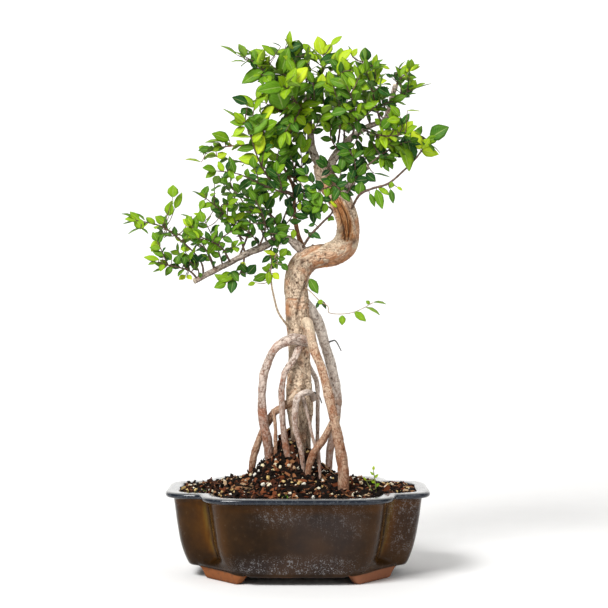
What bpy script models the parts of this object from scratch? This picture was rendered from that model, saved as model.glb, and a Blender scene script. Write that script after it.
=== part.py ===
"""An exposed-root elm bonsai in a glazed four-lobed pot.

Everything is modelled about the pot's centre, with z = 0 on the surface that the pot stands on
and the pot's long side along X. The empty at the end brings the middle of the whole tree's
footprint to the world origin.
"""

import math

import bpy
import numpy as np
from mathutils import Vector
from mathutils.bvhtree import BVHTree

MM = 0.001
CLEARANCE = 0.0003  # between solids that touch

# The pot: a long lobe at each end and a deep lobe at front and back, which meet in four notches
POT_LENGTH = 0.210
POT_DEPTH = 0.164
POT_HEIGHT = 0.069
FRONT_LOBE_LENGTH = 0.152
END_LOBE_DEPTH = 0.098
CORNER_POWER = 6  # of the superellipses that the lobes are drawn with
NOTCH_SOFTNESS = 0.005  # at the rim
BASE_NOTCH_SOFTNESS = 0.013
POT_WALL = 0.005
POT_FLOOR = 0.006
RIM_WIDTH = 0.011
LIP_THICKNESS = 0.0038
NECK_INSET = 0.0066  # the wall under the lip, in from the rim's edge
WAIST_INSET = 0.0108
BELLY_INSET = 0.0154
BASE_INSET = 0.0182
FOOT_HEIGHT = 0.0095
FOOT_DEPTH = 0.012
FOOT_TOP_ANGLES = (18, 58)  # the stretch of the outline that a foot follows, in degrees
FOOT_SOLE_ANGLES = (20.5, 52.5)
FOOT_RISE = 0.009  # how far a foot runs up the wall in the notch
BURIED = 0.0013  # how deep a foot's upper end lies inside the wall
DRAIN_HOLE_DIAMETER = 0.018
DRAIN_HOLE_SPACING = 0.090
OUTLINE_POINTS = 56

# The drain screens and the wire staples that hold them
SCREEN_THICKNESS = 0.0012
SCREEN_BAR = 0.002
SCREEN_CELLS = 3
CLIP_WIRE = 0.0012
CLIP_TOE = 0.006  # how far a staple's legs are bent out under the floor
CLIP_SIDE_GAP = 0.0014  # between a staple's legs and the hole's wall

# The soil: level a little below the rim, heaped up between the roots
SOIL_BELOW_RIM = 0.0045
SOIL_SIDE_GAP = 0.0005
MOUND_HEIGHT = 0.0495
MOUND_WIDTH = 0.021
MOUND_CENTRE = (-0.005, 0.004)

# The tree: its routes are lists of points in millimetres, about the middle of the rim's level
TREE_HEIGHT = 0.368
ROUTES_HEIGHT = 0.368  # the height that the routes are drawn for
TRUNK_GIRTH = 1.0
LEAF_THICKNESS = 0.0005
LEAF_WIDTH_SHARE = 0.27  # half of a leaf's width over its length
TWIG_RADIUS = (1.0, 0.55)  # millimetres, where a shoot starts and at its tip
LEAF_NODE = 0.0012  # the stretch of twig that a leaf grows from

# x, y, z and radius
TRUNK = (
    (1, 0, 15, 6.9), (1, 0, 34, 7.7), (1, 0, 54, 8.9), (1, 0, 74, 10.7), (0, 0, 94, 11.4),
    (0, 0, 115, 10.9), (-1, 0, 135, 10.9), (-1, 0, 151, 10.5), (-2, 0, 163, 9.7),
    (1, 0, 176, 10), (8, 0, 184, 9.7), (19, -2, 187, 9.3), (30, -4, 189, 9.3),
    (38, -4, 196, 9.3), (41, -2, 206, 8.1), (40, 1, 219, 8.3), (33, 3, 235, 8.1),
    (25, 2, 246, 7.9), (20, 1, 255, 7),
)

# name: (what it grows from, its route)
ROOTS = {
    "root_1": ("trunk", (
        (2, -3, 121, 3.4), (-6, -12, 122, 3.6), (-13, -14, 118, 3.4), (-19, -12, 111, 3.2),
        (-24, -8, 101, 3.2), (-28, -5, 88, 3.2), (-29, -3, 70, 3.2), (-28, -2, 54, 3.4),
        (-25, -2, 38, 3.6), (-23, 0, 23, 3.6), (-22, 0, 12, 3.2))),
    "root_2": ("trunk", (
        (4, -5, 143, 3.1), (9, -14, 128, 3.2), (14, -19, 112, 3.2), (19, -22, 97, 3.2),
        (24, -26, 77, 3.4), (29, -30, 55, 3.6), (33, -34, 35, 4.1), (36, -37, 16, 4.1),
        (36, -38, -10, 3.4))),
    "root_3": ("trunk", (
        (9, 5, 153, 4.1), (16, 12, 138, 3.7), (21, 17, 120, 3.2), (27, 20, 99, 2.9),
        (32, 22, 78, 2.9), (32, 23, 62, 2.8), (30, 22, 44, 2.6), (26, 20, 26, 2.6),
        (25, 18, -2, 2.3))),
    "root_4": ("root_2", (
        (29, -29, 56, 2.7), (23, -28, 46, 2.7), (18, -27, 38, 2.7), (13, -25.5, 30, 2.7),
        (9, -24, 19, 2.6), (7, -24, 7, 2.4))),
    "root_5": ("trunk", (
        (1, -7, 112, 2.4), (-3, -13, 103, 2.5), (-10, -13, 94, 2.4), (-13, -11, 81, 2.4),
        (-13, -11, 67, 2.4), (-12, -11, 51, 2.4), (-10, -11, 36, 2.5), (-7, -12, 18, 2.5),
        (-6, -12, 5, 2.3))),
    "root_6": ("trunk", (
        (11, -7, 75, 2.3), (6, -15, 77, 2.4), (0, -17, 73, 2.4), (-2, -17, 64, 2.3),
        (-2, -17, 49, 1.9), (2, -18, 33, 1.8), (4, -19, 20, 1.7), (5, -19, 6, 1.6))),
    "root_7": ("trunk", (
        (5, -7, 69, 1.3), (8, -14, 58, 1.3), (11, -16, 45, 1.2), (14, -19, 34, 1.2),
        (17, -22, 21, 1.2), (18, -23, 6, 1.1))),
    "root_8": ("trunk", (
        (8, 4, 98, 1.7), (14, 8, 88, 1.7), (16, 9, 75, 1.6), (16, 9, 60, 1.6),
        (16, 9, 47, 1.5), (16, 9, 35, 1.5), (17, 9, 19, 1.5))),
    "root_9": ("trunk", (
        (1, -4, 80, 2.8), (-6, -4, 70, 2.9), (-13, -3, 64, 2.9), (-20, 3, 59, 2.8),
        (-28, 7, 45, 2.8), (-33, 9, 33, 2.8), (-37, 10, 18, 2.8), (-38, 10, 2, 2.4))),
    "root_10": ("root_9", (
        (-19, 0, 60, 1.5), (-18, -5, 50, 1.5), (-18, -7, 38, 1.5), (-18, -7, 25, 1.5),
        (-18, -7, 9, 1.4))),
}
BRANCHES = {
    "lower_left_branch": ("trunk", (
        (4, -2, 190, 3.2), (-1, -6, 195, 3.2), (-7, -8, 200, 3), (-15, -9, 201, 2.9),
        (-26, -10, 195, 2.8), (-40, -11, 189, 2.7), (-55, -11, 181, 2.4), (-67, -10, 175, 2.2),
        (-82, -9, 167, 1.9))),
    "red_branch": ("trunk", (
        (6, 3, 190, 1.9), (1, 8, 202, 1.8), (-2, 8, 215, 1.6), (-3, 7, 226, 1.6),
        (-3, 7, 236, 1.5), (-4, 7, 244, 1.4), (-8, 6, 252, 1.1), (-12, 5, 260, 1.1),
        (-13, 4, 267, 1))),
    "leader": ("trunk", (
        (23, 1, 250, 4.1), (15, 0, 265, 3.1), (11, -1, 275, 2.8), (10, -1, 287, 2.4),
        (9, 1, 299, 2), (6, 3, 313, 1.6), (2, 4, 325, 1.3))),
    "right_branch": ("trunk", (
        (22, 4, 248, 3.8), (30, 5, 268, 3.4), (42, 6, 282, 2.7), (50, 6, 288, 2.4),
        (59, 4, 293, 2.3), (70, 2, 297, 2.1), (74, 1, 306, 1.9), (76, 0, 315, 1.9),
        (79, 0, 325, 1.9))),
    "low_right_branch": ("trunk", (
        (35, 2, 234, 3.2), (42, -5, 244, 2.9), (48, -9, 253, 2.8), (55, -11, 258, 2.4))),
}

# name: (what it grows from, how many leaves, their length in millimetres, x, y and z of its route)
SHOOTS = {
    "lower_left_shoot_1": ("lower_left_branch", 10, 13, (
        (-76, -9, 170), (-77, -12, 180), (-84, -16, 190), (-96, -21, 201), (-107, -26, 209),
        (-120, -30, 214), (-134, -33, 218))),
    "lower_left_shoot_2": ("lower_left_branch", 7, 12, (
        (-80, -9, 167), (-86, -14, 174), (-94, -21, 177), (-104, -27, 179), (-114, -31, 182))),
    "lower_left_shoot_3": ("lower_left_branch", 7, 13, (
        (-66, -10, 175), (-75, 6, 189), (-89, 22, 196), (-105, 34, 201), (-117, 40, 205))),
    "lower_left_shoot_4": ("lower_left_branch", 7, 12, (
        (-42, -11, 188), (-48, -20, 205), (-60, -28, 221), (-72, -34, 231))),
    "lower_left_shoot_5": ("lower_left_branch", 8, 13, (
        (-47, -11, 186), (-40, 4, 207), (-40, 8, 220), (-48, 14, 236), (-59, 18, 247))),
    "lower_left_shoot_6": ("lower_left_branch", 7, 12, (
        (-32, -10, 192), (-26, -24, 207), (-28, -36, 219), (-33, -44, 229))),
    "lower_left_shoot_7": ("lower_left_branch", 5, 13, (
        (-43, -11, 187), (-44, -16, 178), (-48, -22, 170), (-57, -26, 165))),
    "lower_left_shoot_8": ("lower_left_branch", 7, 13, (
        (-54, -11, 181), (-60, -28, 192), (-70, -42, 198), (-81, -52, 202))),
    "lower_left_shoot_9": ("lower_left_branch", 8, 13, (
        (-24, -10, 196), (-31, 14, 210), (-43, 34, 225), (-56, 48, 234))),
    "left_shoot_1": ("lower_left_branch", 6, 12, (
        (-15, -9, 200), (-14, -7, 209), (-10, -4, 221), (-7, -2, 230), (-11, 10, 239),
        (-18, 20, 249), (-28, 28, 257))),
    "left_shoot_2": ("red_branch", 9, 15, (
        (-4, 7, 238), (-14, -6, 241), (-22, -14, 247), (-29, -20, 258), (-34, -24, 270),
        (-37, -27, 280), (-43, -30, 294))),
    "left_shoot_3": ("red_branch", 7, 17, (
        (-13, 4, 263), (-11, -3, 276), (-10, -6, 289), (-10, -8, 301), (-14, -12, 314))),
    "left_shoot_4": ("red_branch", 8, 16, (
        (-4, 7, 243), (-2, 9, 259), (-1, 11, 277), (-2, 15, 294), (-7, 20, 309),
        (-16, 26, 323), (-25, 30, 335))),
    "left_shoot_5": ("red_branch", 8, 14, (
        (-7, 6, 251), (-23, 28, 259), (-40, 40, 265), (-59, 48, 270), (-75, 52, 274))),
    "left_shoot_6": ("red_branch", 8, 14, (
        (-3, 7, 233), (-6, -8, 236), (-16, -24, 238), (-31, -40, 243), (-46, -50, 249),
        (-63, -56, 251))),
    "left_shoot_7": ("red_branch", 8, 13, (
        (-10, 5.5, 256), (-24, 4, 272), (-39, 8, 277), (-57, 12, 277), (-75, 14, 274))),
    "left_shoot_8": ("leader", 9, 15, (
        (9, 1, 299), (-6, -4, 315), (-21, -8, 328), (-34, -12, 341), (-48, -14, 350))),
    "apex_shoot_1": ("leader", 6, 15, (
        (4, 3.5, 319), (-1, -3, 337), (-4, -4, 348), (-6, -6, 358))),
    "apex_shoot_2": ("leader", 6, 19, (
        (9, 0, 295), (2, -20, 304), (-5, -34, 312), (-11, -42, 319))),
    "apex_shoot_3": ("leader", 7, 16, (
        (7, 2, 309), (15, 8, 326), (20, 12, 343), (23, 14, 358))),
    "apex_shoot_4": ("leader", 6, 15, (
        (4, 4, 318), (7, 26, 332), (2, 42, 344), (-6, 50, 352))),
    "right_shoot_1": ("right_branch", 8, 15, (
        (31, 5, 271), (34, 0, 291), (33, -4, 313), (31, -8, 330), (31, -10, 352))),
    "right_shoot_2": ("right_branch", 7, 15, (
        (44, 6, 283), (46, -22, 296), (43, -38, 308), (38, -48, 318))),
    "right_shoot_3": ("right_branch", 8, 14, (
        (59, 4, 293), (56, 14, 310), (53, 20, 328), (49, 22, 344), (47, 22, 356))),
    "right_shoot_4": ("right_branch", 7, 13, (
        (67, 2, 296), (62, -20, 307), (58, -32, 319), (54, -38, 330))),
    "right_shoot_5": ("right_branch", 6, 13, (
        (79, 0, 322), (83, -3, 329), (89, -6, 335), (96, -8, 340))),
    "right_shoot_6": ("right_branch", 5, 14, (
        (75, 0, 312), (84, -10, 314), (95, -14, 316), (105, -16, 322))),
    "right_shoot_7": ("right_branch", 7, 14, (
        (72, 2, 303), (69, 22, 318), (69, 36, 333), (72, 44, 348))),
    "right_shoot_8": ("right_branch", 8, 15, (
        (37, 6, 276), (38, 26, 292), (33, 46, 309), (27, 58, 323))),
    "right_shoot_9": ("right_branch", 8, 14, (
        (53, 5, 290), (62, -22, 283), (73, -36, 280), (84, -44, 281))),
    "low_right_shoot_1": ("low_right_branch", 8, 13, (
        (53, -11, 257), (61, -14, 263), (72, -14, 271), (84, -12, 277), (96, -10, 282))),
    "low_right_shoot_2": ("low_right_branch", 7, 14, (
        (48, -9, 253), (56, 14, 268), (68, 32, 277), (80, 44, 284))),
    "fork_shoot": ("trunk", 6, 13, (
        (36, 2, 234), (31, -22, 250), (22, -34, 252), (12, -44, 254))),
    "long_right_shoot": ("trunk", 8, 17, (
        (42, -1, 222), (49, -14, 235), (59, -19, 240), (72, -20, 244), (84, -20, 254),
        (93, -19, 263), (102, -17, 274), (109, -16, 281))),
    "bend_shoot": ("trunk", 5, 12, (
        (4, -4, 190), (10, -14, 205), (18, -17, 213), (26, -18, 221), (19, -28, 228),
        (10, -36, 232))),
    "left_sucker": ("trunk", 7, 9, (
        (-4, -3, 125), (-11, -13, 134), (-16, -14, 142), (-19, -15, 153), (-21, -15, 163),
        (-22, -15, 174), (-18, -16, 182))),
    "right_sucker": ("trunk", 7, 11, (
        (2, -2, 164), (12, -10, 157), (19, -13, 151), (26, -14, 145), (35, -14, 141),
        (45, -13, 142), (55, -12, 146), (64, -11, 148))),
    "weed_seedling": ("soil", 5, 7, (
        (62, -30, -7), (62, -30, 0), (63, -31, 8), (61, -32, 16))),
}

COLOURS = {  # name: (colour, roughness, metallic)
    "glaze": ((0.055, 0.032, 0.018), 0.2, 0.0),
    "screen": ((0.02, 0.05, 0.03), 0.5, 0.0),
    "wire": ((0.42, 0.38, 0.33), 0.35, 1.0),
    "soil": ((0.055, 0.035, 0.022), 0.95, 0.0),
    "bark": ((0.40, 0.29, 0.19), 0.85, 0.0),
    "root": ((0.36, 0.23, 0.13), 0.8, 0.0),
    "red_bark": ((0.20, 0.085, 0.045), 0.7, 0.0),
    "leaf": ((0.10, 0.25, 0.02), 0.5, 0.0),
}

RIM = POT_HEIGHT
CLIP_REACH = DRAIN_HOLE_DIAMETER / 2 - CLIP_SIDE_GAP - CLIP_WIRE / 2  # to a staple's leg
SCREEN_PITCH = CLIP_REACH  # so that the legs go down through the screen's meshes
BODY_HEIGHT = POT_HEIGHT - FOOT_HEIGHT
FLOOR_TOP = FOOT_HEIGHT + POT_FLOOR
NECK_HEIGHT = POT_HEIGHT - 0.006


def material(name):
    """The named finish, made once."""
    made = bpy.data.materials.get(name)
    if made is None:
        colour, roughness, metallic = COLOURS[name]
        made = bpy.data.materials.new(name)
        made.use_nodes = True
        shader = made.node_tree.nodes["Principled BSDF"]
        shader.inputs["Base Color"].default_value = (*colour, 1)
        shader.inputs["Roughness"].default_value = roughness
        shader.inputs["Metallic"].default_value = metallic
    return made


def add_part(name, points, faces, finish, smooth=True):
    """A mesh object under the root empty."""
    mesh = bpy.data.meshes.new(name)
    mesh.from_pydata([tuple(map(float, p)) for p in points], [], faces)
    mesh.materials.append(material(finish))
    if smooth:
        mesh.shade_smooth()
        mesh.set_sharp_from_angle(angle=math.radians(40))
    part = bpy.data.objects.new(name, mesh)
    bpy.context.collection.objects.link(part)
    part.parent = bpy.data.objects["root"]
    return part


def add_helper(name, points, faces):
    """A shape that only cuts or joins: it isn't part of the object."""
    helper = add_part(name, points, faces, "soil", smooth=False)
    helper.hide_render = True
    helper.display_type = "WIRE"
    return helper


def combine(part, helper, operation):
    boolean = part.modifiers.new(helper.name, "BOOLEAN")
    boolean.object = helper
    boolean.operation = operation


def bridge(rings, falling=False):
    """Faces of a closed loft through rings of equal length, counterclockwise seen from its end,
    with both ends capped. Its quads are all split along the diagonal that rises with the rings,
    or all along the falling one, so that nested lofts stay apart."""
    count = len(rings[0])
    faces = [tuple(range(count - 1, -1, -1))]
    for k in range(len(rings) - 1):
        low, high = k * count, (k + 1) * count
        for i in range(count):
            j = (i + 1) % count
            faces.append((low + i, low + j, high + i if falling else high + j))
            faces.append((low + j if falling else low + i, high + j, high + i))
    faces.append(tuple(range((len(rings) - 1) * count, len(rings) * count)))
    return np.concatenate(rings), faces


# ---------------------------------------------------------------- the pot


def outline_radius(angles, inset):
    """Distance from the pot's centre to its outline, drawn in by inset all round: the larger of
    two superellipses, with a change from one to the other in the notches that is softer lower
    down, where the inset is larger."""
    def lobe(half_x, half_y):
        across = np.abs(np.cos(angles) / (half_x - inset)) ** CORNER_POWER
        along = np.abs(np.sin(angles) / (half_y - inset)) ** CORNER_POWER
        return (across + along) ** (-1 / CORNER_POWER)

    ends = lobe(POT_LENGTH / 2, END_LOBE_DEPTH / 2)
    front = lobe(FRONT_LOBE_LENGTH / 2, POT_DEPTH / 2)
    lower = (inset / BASE_INSET) ** 2
    softness = NOTCH_SOFTNESS + (BASE_NOTCH_SOFTNESS - NOTCH_SOFTNESS) * lower
    return (ends + front + np.sqrt((ends - front) ** 2 + softness**2)) / 2


def outline(inset, height, angles):
    radius = outline_radius(angles, inset)
    return np.stack(
        [radius * np.cos(angles), radius * np.sin(angles), np.full(len(angles), height)], axis=1
    )


def even_angles(count):
    """Angles that divide the rim's outline into equal lengths."""
    fine = np.linspace(0, 2 * math.pi, 4001)
    rim = outline(0, 0, fine)
    walked = np.concatenate([[0], np.cumsum(np.linalg.norm(np.diff(rim, axis=0), axis=1))])
    return np.interp(np.arange(count) / count * walked[-1], walked, fine)


def inner_inset(height):
    """How far the pot's inner wall is in from the rim's edge, at a height."""
    belly = FOOT_HEIGHT + 0.11 * BODY_HEIGHT
    waist = FOOT_HEIGHT + 0.40 * BODY_HEIGHT
    heights = (FLOOR_TOP, max(belly, FLOOR_TOP + 0.004), waist, NECK_HEIGHT)
    insets = (BELLY_INSET + 0.003, BELLY_INSET, WAIST_INSET, NECK_INSET)
    return POT_WALL + float(np.interp(height, heights, insets))


def inner_heights():
    """The heights at which the inner wall changes its slope."""
    belly = max(FOOT_HEIGHT + 0.11 * BODY_HEIGHT, FLOOR_TOP + 0.004)
    return FLOOR_TOP, belly, FOOT_HEIGHT + 0.40 * BODY_HEIGHT, NECK_HEIGHT


def pot_body(angles):
    """The wall's section, from under the floor, up the outside, over the rim and down inside."""
    under_lip = RIM - LIP_THICKNESS
    section = [
        (BASE_INSET + 0.003, FOOT_HEIGHT),
        (BASE_INSET, FOOT_HEIGHT + 0.001),
        (BELLY_INSET, FOOT_HEIGHT + 0.11 * BODY_HEIGHT),
        (WAIST_INSET, FOOT_HEIGHT + 0.40 * BODY_HEIGHT),
        (NECK_INSET, under_lip - 0.0004),
        (0.0008, under_lip),
        (0, RIM - 0.55 * LIP_THICKNESS),
        (0.0008, RIM - 0.0003),
        (RIM_WIDTH - 0.001, RIM),
        (RIM_WIDTH, RIM - 0.001),
    ]
    section += [(inner_inset(z), z) for z in reversed(inner_heights())]
    return bridge([outline(inset, z, angles) for inset, z in section])


def bridged(ring):
    """A stretch of outline with its inward bend straightened: each point moves out, away from
    the pot's centre, to the outermost line between two others that passes it."""
    out = ring.copy()
    for k in range(1, len(ring) - 1):
        x, y = ring[k, :2]
        for x0, y0 in ring[:k, :2]:
            for x1, y1 in ring[k + 1 :, :2]:
                share = (x0 * y1 - y0 * x1) / (x * (y1 - y0) - y * (x1 - x0))
                if share * abs(x) > abs(out[k, 0]):
                    out[k, :2] = share * x, share * y
    return out


def outer_inset(height):
    """How far the pot's outer wall is in from the rim's edge, at a height."""
    heights = (FOOT_HEIGHT, FOOT_HEIGHT + 0.11 * BODY_HEIGHT, FOOT_HEIGHT + 0.40 * BODY_HEIGHT)
    return float(np.interp(height, heights, (BASE_INSET, BELLY_INSET, WAIST_INSET)))


def foot(quarter, angles):
    """A cloud foot: it bridges one notch, narrows to its sole, and runs up into the wall."""
    top, sole = FOOT_TOP_ANGLES, FOOT_SOLE_ANGLES
    if quarter % 2:  # the outline's quarters mirror each other
        top, sole = (90 - top[1], 90 - top[0]), (90 - sole[1], 90 - sole[0])
    top, sole = np.radians(top) + quarter * math.pi / 2, np.radians(sole) + quarter * math.pi / 2
    own = angles[(angles > top[0]) & (angles < top[1])]
    shares = (own - own[0]) / (own[-1] - own[0])
    rings = []
    for z, spread, inset in (
        (0, 0, 0.0030), (0.0014, 0.12, 0.0018), (0.55 * FOOT_HEIGHT, 0.45, 0.0012),
        (0.93 * FOOT_HEIGHT, 1, 0.0012),
    ):
        ends = sole + (top - sole) * spread
        turned = ends[0] + (ends[1] - ends[0]) * shares
        outer = bridged(outline(BASE_INSET + inset, z, turned))
        inner = bridged(outline(BASE_INSET + FOOT_DEPTH - inset, z, turned))
        rings.append(np.concatenate([outer, inner[::-1]]))
    z = FOOT_HEIGHT + FOOT_RISE
    outer = outline(outer_inset(z) + BURIED, z, own)
    inner = outline(outer_inset(z) + POT_WALL - BURIED, z, own)
    rings.append(np.concatenate([outer, inner[::-1]]))
    return bridge(rings)


def make_pot(angles):
    pot = add_part("pot", *pot_body(angles), "glaze")
    for quarter in range(4):
        combine(pot, add_helper(f"foot_{quarter}", *foot(quarter, angles)), "UNION")
    turns = np.linspace(0, 2 * math.pi, 24, endpoint=False)
    for side in (-1, 1):
        x = side * DRAIN_HOLE_SPACING / 2
        rings = [
            np.stack([
                x + DRAIN_HOLE_DIAMETER / 2 * np.cos(turns),
                DRAIN_HOLE_DIAMETER / 2 * np.sin(turns),
                np.full(len(turns), z),
            ], axis=1)
            for z in (0, FLOOR_TOP + 0.01)
        ]
        combine(pot, add_helper(f"drain_cutter_{side}", *bridge(rings)), "DIFFERENCE")
    return pot


def make_screen(name, x):
    """A square plastic mesh over a drain hole: a plate with rows of square holes."""
    steps = [-(SCREEN_CELLS * SCREEN_PITCH + SCREEN_BAR) / 2]
    for _ in range(SCREEN_CELLS):
        steps += [steps[-1] + SCREEN_BAR, steps[-1] + SCREEN_PITCH]
    steps.append(steps[-1] + SCREEN_BAR)
    row = len(steps)
    z = FLOOR_TOP + CLEARANCE
    points = [(x + across, along, z) for along in steps for across in steps]
    faces = [
        (j * row + i, j * row + i + 1, (j + 1) * row + i + 1, (j + 1) * row + i)
        for j in range(row - 1) for i in range(row - 1) if not (i % 2 and j % 2)
    ]
    screen = add_part(name, points, faces, "screen", smooth=False)
    thick = screen.modifiers.new("thickness", "SOLIDIFY")
    thick.thickness = SCREEN_THICKNESS
    thick.offset = 1


def make_clip(name, x):
    """A staple of wire: over the screen, down through its mesh and the drain hole, and out under
    the floor."""
    radius = CLIP_WIRE / 2
    leg = CLIP_REACH
    top = FLOOR_TOP + CLEARANCE + SCREEN_THICKNESS + CLEARANCE + radius
    low = FOOT_HEIGHT - CLEARANCE - radius
    half = [(0, top), (leg - 0.001, top), (leg, top - 0.001), (leg, low + 0.001)]
    half += [(leg + 0.001, low), (leg + CLIP_TOE, low)]
    route = [(-a, z) for a, z in reversed(half[1:])] + half
    rows = np.array([(x + a, 0, z, radius) for a, z in route])
    add_part(name, *tube(rows, sides=6, side_hint=(0, 1, 0)), "wire")


# ---------------------------------------------------------------- round limbs


def in_place(route):
    """A route's rows in metres, over the rim's level: x, y, z and, where it has one, radius."""
    rows = np.array(route, float) * MM * TREE_HEIGHT / ROUTES_HEIGHT
    rows[:, 2] += RIM
    return rows


def smooth(rows, count):
    """Points at equal steps along the Catmull-Rom curve through the rows."""
    ends = np.concatenate([[2 * rows[0] - rows[1]], rows, [2 * rows[-1] - rows[-2]]])
    fine = []
    for p0, p1, p2, p3 in zip(ends, ends[1:], ends[2:], ends[3:]):
        t = np.linspace(0, 1, 24, endpoint=False)[:, None]
        fine.append(0.5 * (
            2 * p1 + (p2 - p0) * t + (2 * p0 - 5 * p1 + 4 * p2 - p3) * t**2
            + (3 * p1 - p0 - 3 * p2 + p3) * t**3
        ))
    fine = np.concatenate(fine + [rows[-1:]])
    return resample(fine, count)


def resample(rows, count):
    walked = lengths_along(rows)
    wanted = np.linspace(0, walked[-1], count)
    return np.stack([np.interp(wanted, walked, column) for column in rows.T], axis=1)


def lengths_along(rows):
    steps = np.linalg.norm(np.diff(rows[:, :3], axis=0), axis=1)
    return np.concatenate([[0], np.cumsum(steps)])


def tangents_of(rows):
    tangents = np.gradient(rows[:, :3], axis=0)
    return tangents / np.linalg.norm(tangents, axis=1)[:, None]


def frames_of(rows, side_hint):
    """A sideways and an upward direction at each row, carried along without twisting."""
    tangents = tangents_of(rows)
    side = np.array(side_hint, float)
    sides = []
    for tangent in tangents:
        side = side - tangent * (side @ tangent)
        side = side / np.linalg.norm(side)
        sides.append(side)
    sides = np.array(sides)
    return tangents, sides, np.cross(tangents, sides)


def tube(rows, sides, side_hint=(0.3, -1, 0.2), grow=0.0):
    """A closed round tube along the rows, made fatter and longer by grow."""
    tangents, across, up = frames_of(rows, side_hint)
    centres = rows[:, :3].copy()
    centres[0] -= tangents[0] * grow
    centres[-1] += tangents[-1] * grow
    turns = np.linspace(0, 2 * math.pi, sides, endpoint=False)
    ring = across[:, None] * np.cos(turns)[:, None] + up[:, None] * np.sin(turns)[:, None]
    points = centres[:, None] + ring * (rows[:, 3] + grow)[:, None, None]
    return bridge(list(points))


def clear_of_parent(rows, parent):
    """The rows from the first one whose end face would clear the parent limb's surface."""
    tangents = tangents_of(rows)
    last_inside = -1
    for i in range(len(rows) // 2):
        away = rows[i, :3] - parent[:, :3]
        distances = np.linalg.norm(away, axis=1)
        near = int(np.argmin(distances - parent[:, 3]))
        slant = abs(tangents[i] @ away[near]) / max(distances[near], 1e-9)
        tilt = rows[i, 3] * math.sqrt(max(0.0, 1 - slant**2))
        if distances[near] < parent[near, 3] + tilt + 2 * CLEARANCE:
            last_inside = i
    return rows[last_inside + 1 :]


def make_limb(name, parent, route, sides, ring_gap, finish):
    """A branch or a root, from its parent's surface on; gives its rows back."""
    rows = smooth(in_place(route), 300)
    if parent is not None:
        rows = clear_of_parent(rows, parent)
    count = max(4, round(lengths_along(rows)[-1] / ring_gap) + 1)
    rings = resample(rows, count)
    add_part(name, *tube(rings, sides), finish)
    return resample(rings, 300), rings


# ---------------------------------------------------------------- leafy shoots


def twig_rows(parent, route, leaves):
    """A shoot's rows in pairs, with a short stretch at each leaf and a long one between."""
    rows = in_place(route)
    taper = np.linspace(TWIG_RADIUS[0], TWIG_RADIUS[1], len(rows))[:, None] * MM
    rows = clear_of_parent(smooth(np.hstack([rows, taper]), 300), parent)
    walked = lengths_along(rows)
    total = walked[-1]
    bare = min(0.38 * total, 0.022)
    nodes = np.linspace(bare, total - LEAF_NODE, leaves)
    stations = np.sort(np.concatenate([[0], nodes - LEAF_NODE / 2, nodes + LEAF_NODE / 2]))
    if bare > 0.012:
        stations = np.sort(np.append(stations, bare / 2))
    picked = np.stack([np.interp(stations, walked, column) for column in rows.T], axis=1)
    node_rows = [int(np.searchsorted(stations, n - LEAF_NODE * 0.51)) for n in nodes]
    return picked, node_rows


def leaf_shape(base, tangent, side, up, length, droop):
    """The two mid rings' corners and the tip of a leaf, from the middle of its base."""
    forward = 0.75 * side + 0.62 * tangent
    direction = forward * math.cos(droop) + up * math.sin(droop)
    direction /= np.linalg.norm(direction)
    width_way = tangent - direction * (tangent @ direction)
    width_way /= np.linalg.norm(width_way)
    thick_way = np.cross(direction, width_way)
    if thick_way @ up < 0:
        thick_way = -thick_way
    half_width = LEAF_WIDTH_SHARE * length
    middle = base + direction * 0.48 * length
    corners = [
        middle + width_way * w * half_width + thick_way * t * LEAF_THICKNESS / 2
        for w, t in ((-1, -1), (1, -1), (1, 1), (-1, 1))
    ]
    return corners, base + direction * length


def collides(points, faces, obstacles):
    low, high = points.min(axis=0), points.max(axis=0)
    tree = None
    for (other_low, other_high), other in obstacles:
        if (low > other_high).any() or (high < other_low).any():
            continue
        tree = tree or BVHTree.FromPolygons([tuple(p) for p in points], faces)
        if tree.overlap(other):
            return True
    return False


def obstacle(points, faces):
    points = np.asarray(points, float)
    box = (points.min(axis=0), points.max(axis=0))
    return box, BVHTree.FromPolygons([tuple(p) for p in points], faces)


def leaf_test_shape(base, corners, tip, grow=0.0005):
    """A box round the leaf's outer part, larger than it by grow, to test for room with."""
    middle = np.mean(corners, axis=0)
    along = (tip - base) / np.linalg.norm(tip - base)
    wide = (corners[1] - corners[0]) / np.linalg.norm(corners[1] - corners[0])
    thick = np.cross(along, wide)
    half = np.linalg.norm(corners[1] - corners[0]) / 2
    rings = []
    for centre, width in (
        (base + 0.16 * (middle - base), 0.25 * half), (middle, half + grow),
        (tip + along * grow, 0.1 * half),
    ):
        for w, t in ((-1, -1), (1, -1), (1, 1), (-1, 1)):
            rings.append(centre + wide * w * width + thick * t * (LEAF_THICKNESS / 2 + grow))
    points = np.array(rings)
    faces = [(3, 2, 1, 0), (8, 9, 10, 11)]
    for k in (0, 4):
        for i in range(4):
            j = (i + 1) % 4
            faces.append((k + i, k + j, k + 4 + j, k + 4 + i))
    return points, faces


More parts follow.
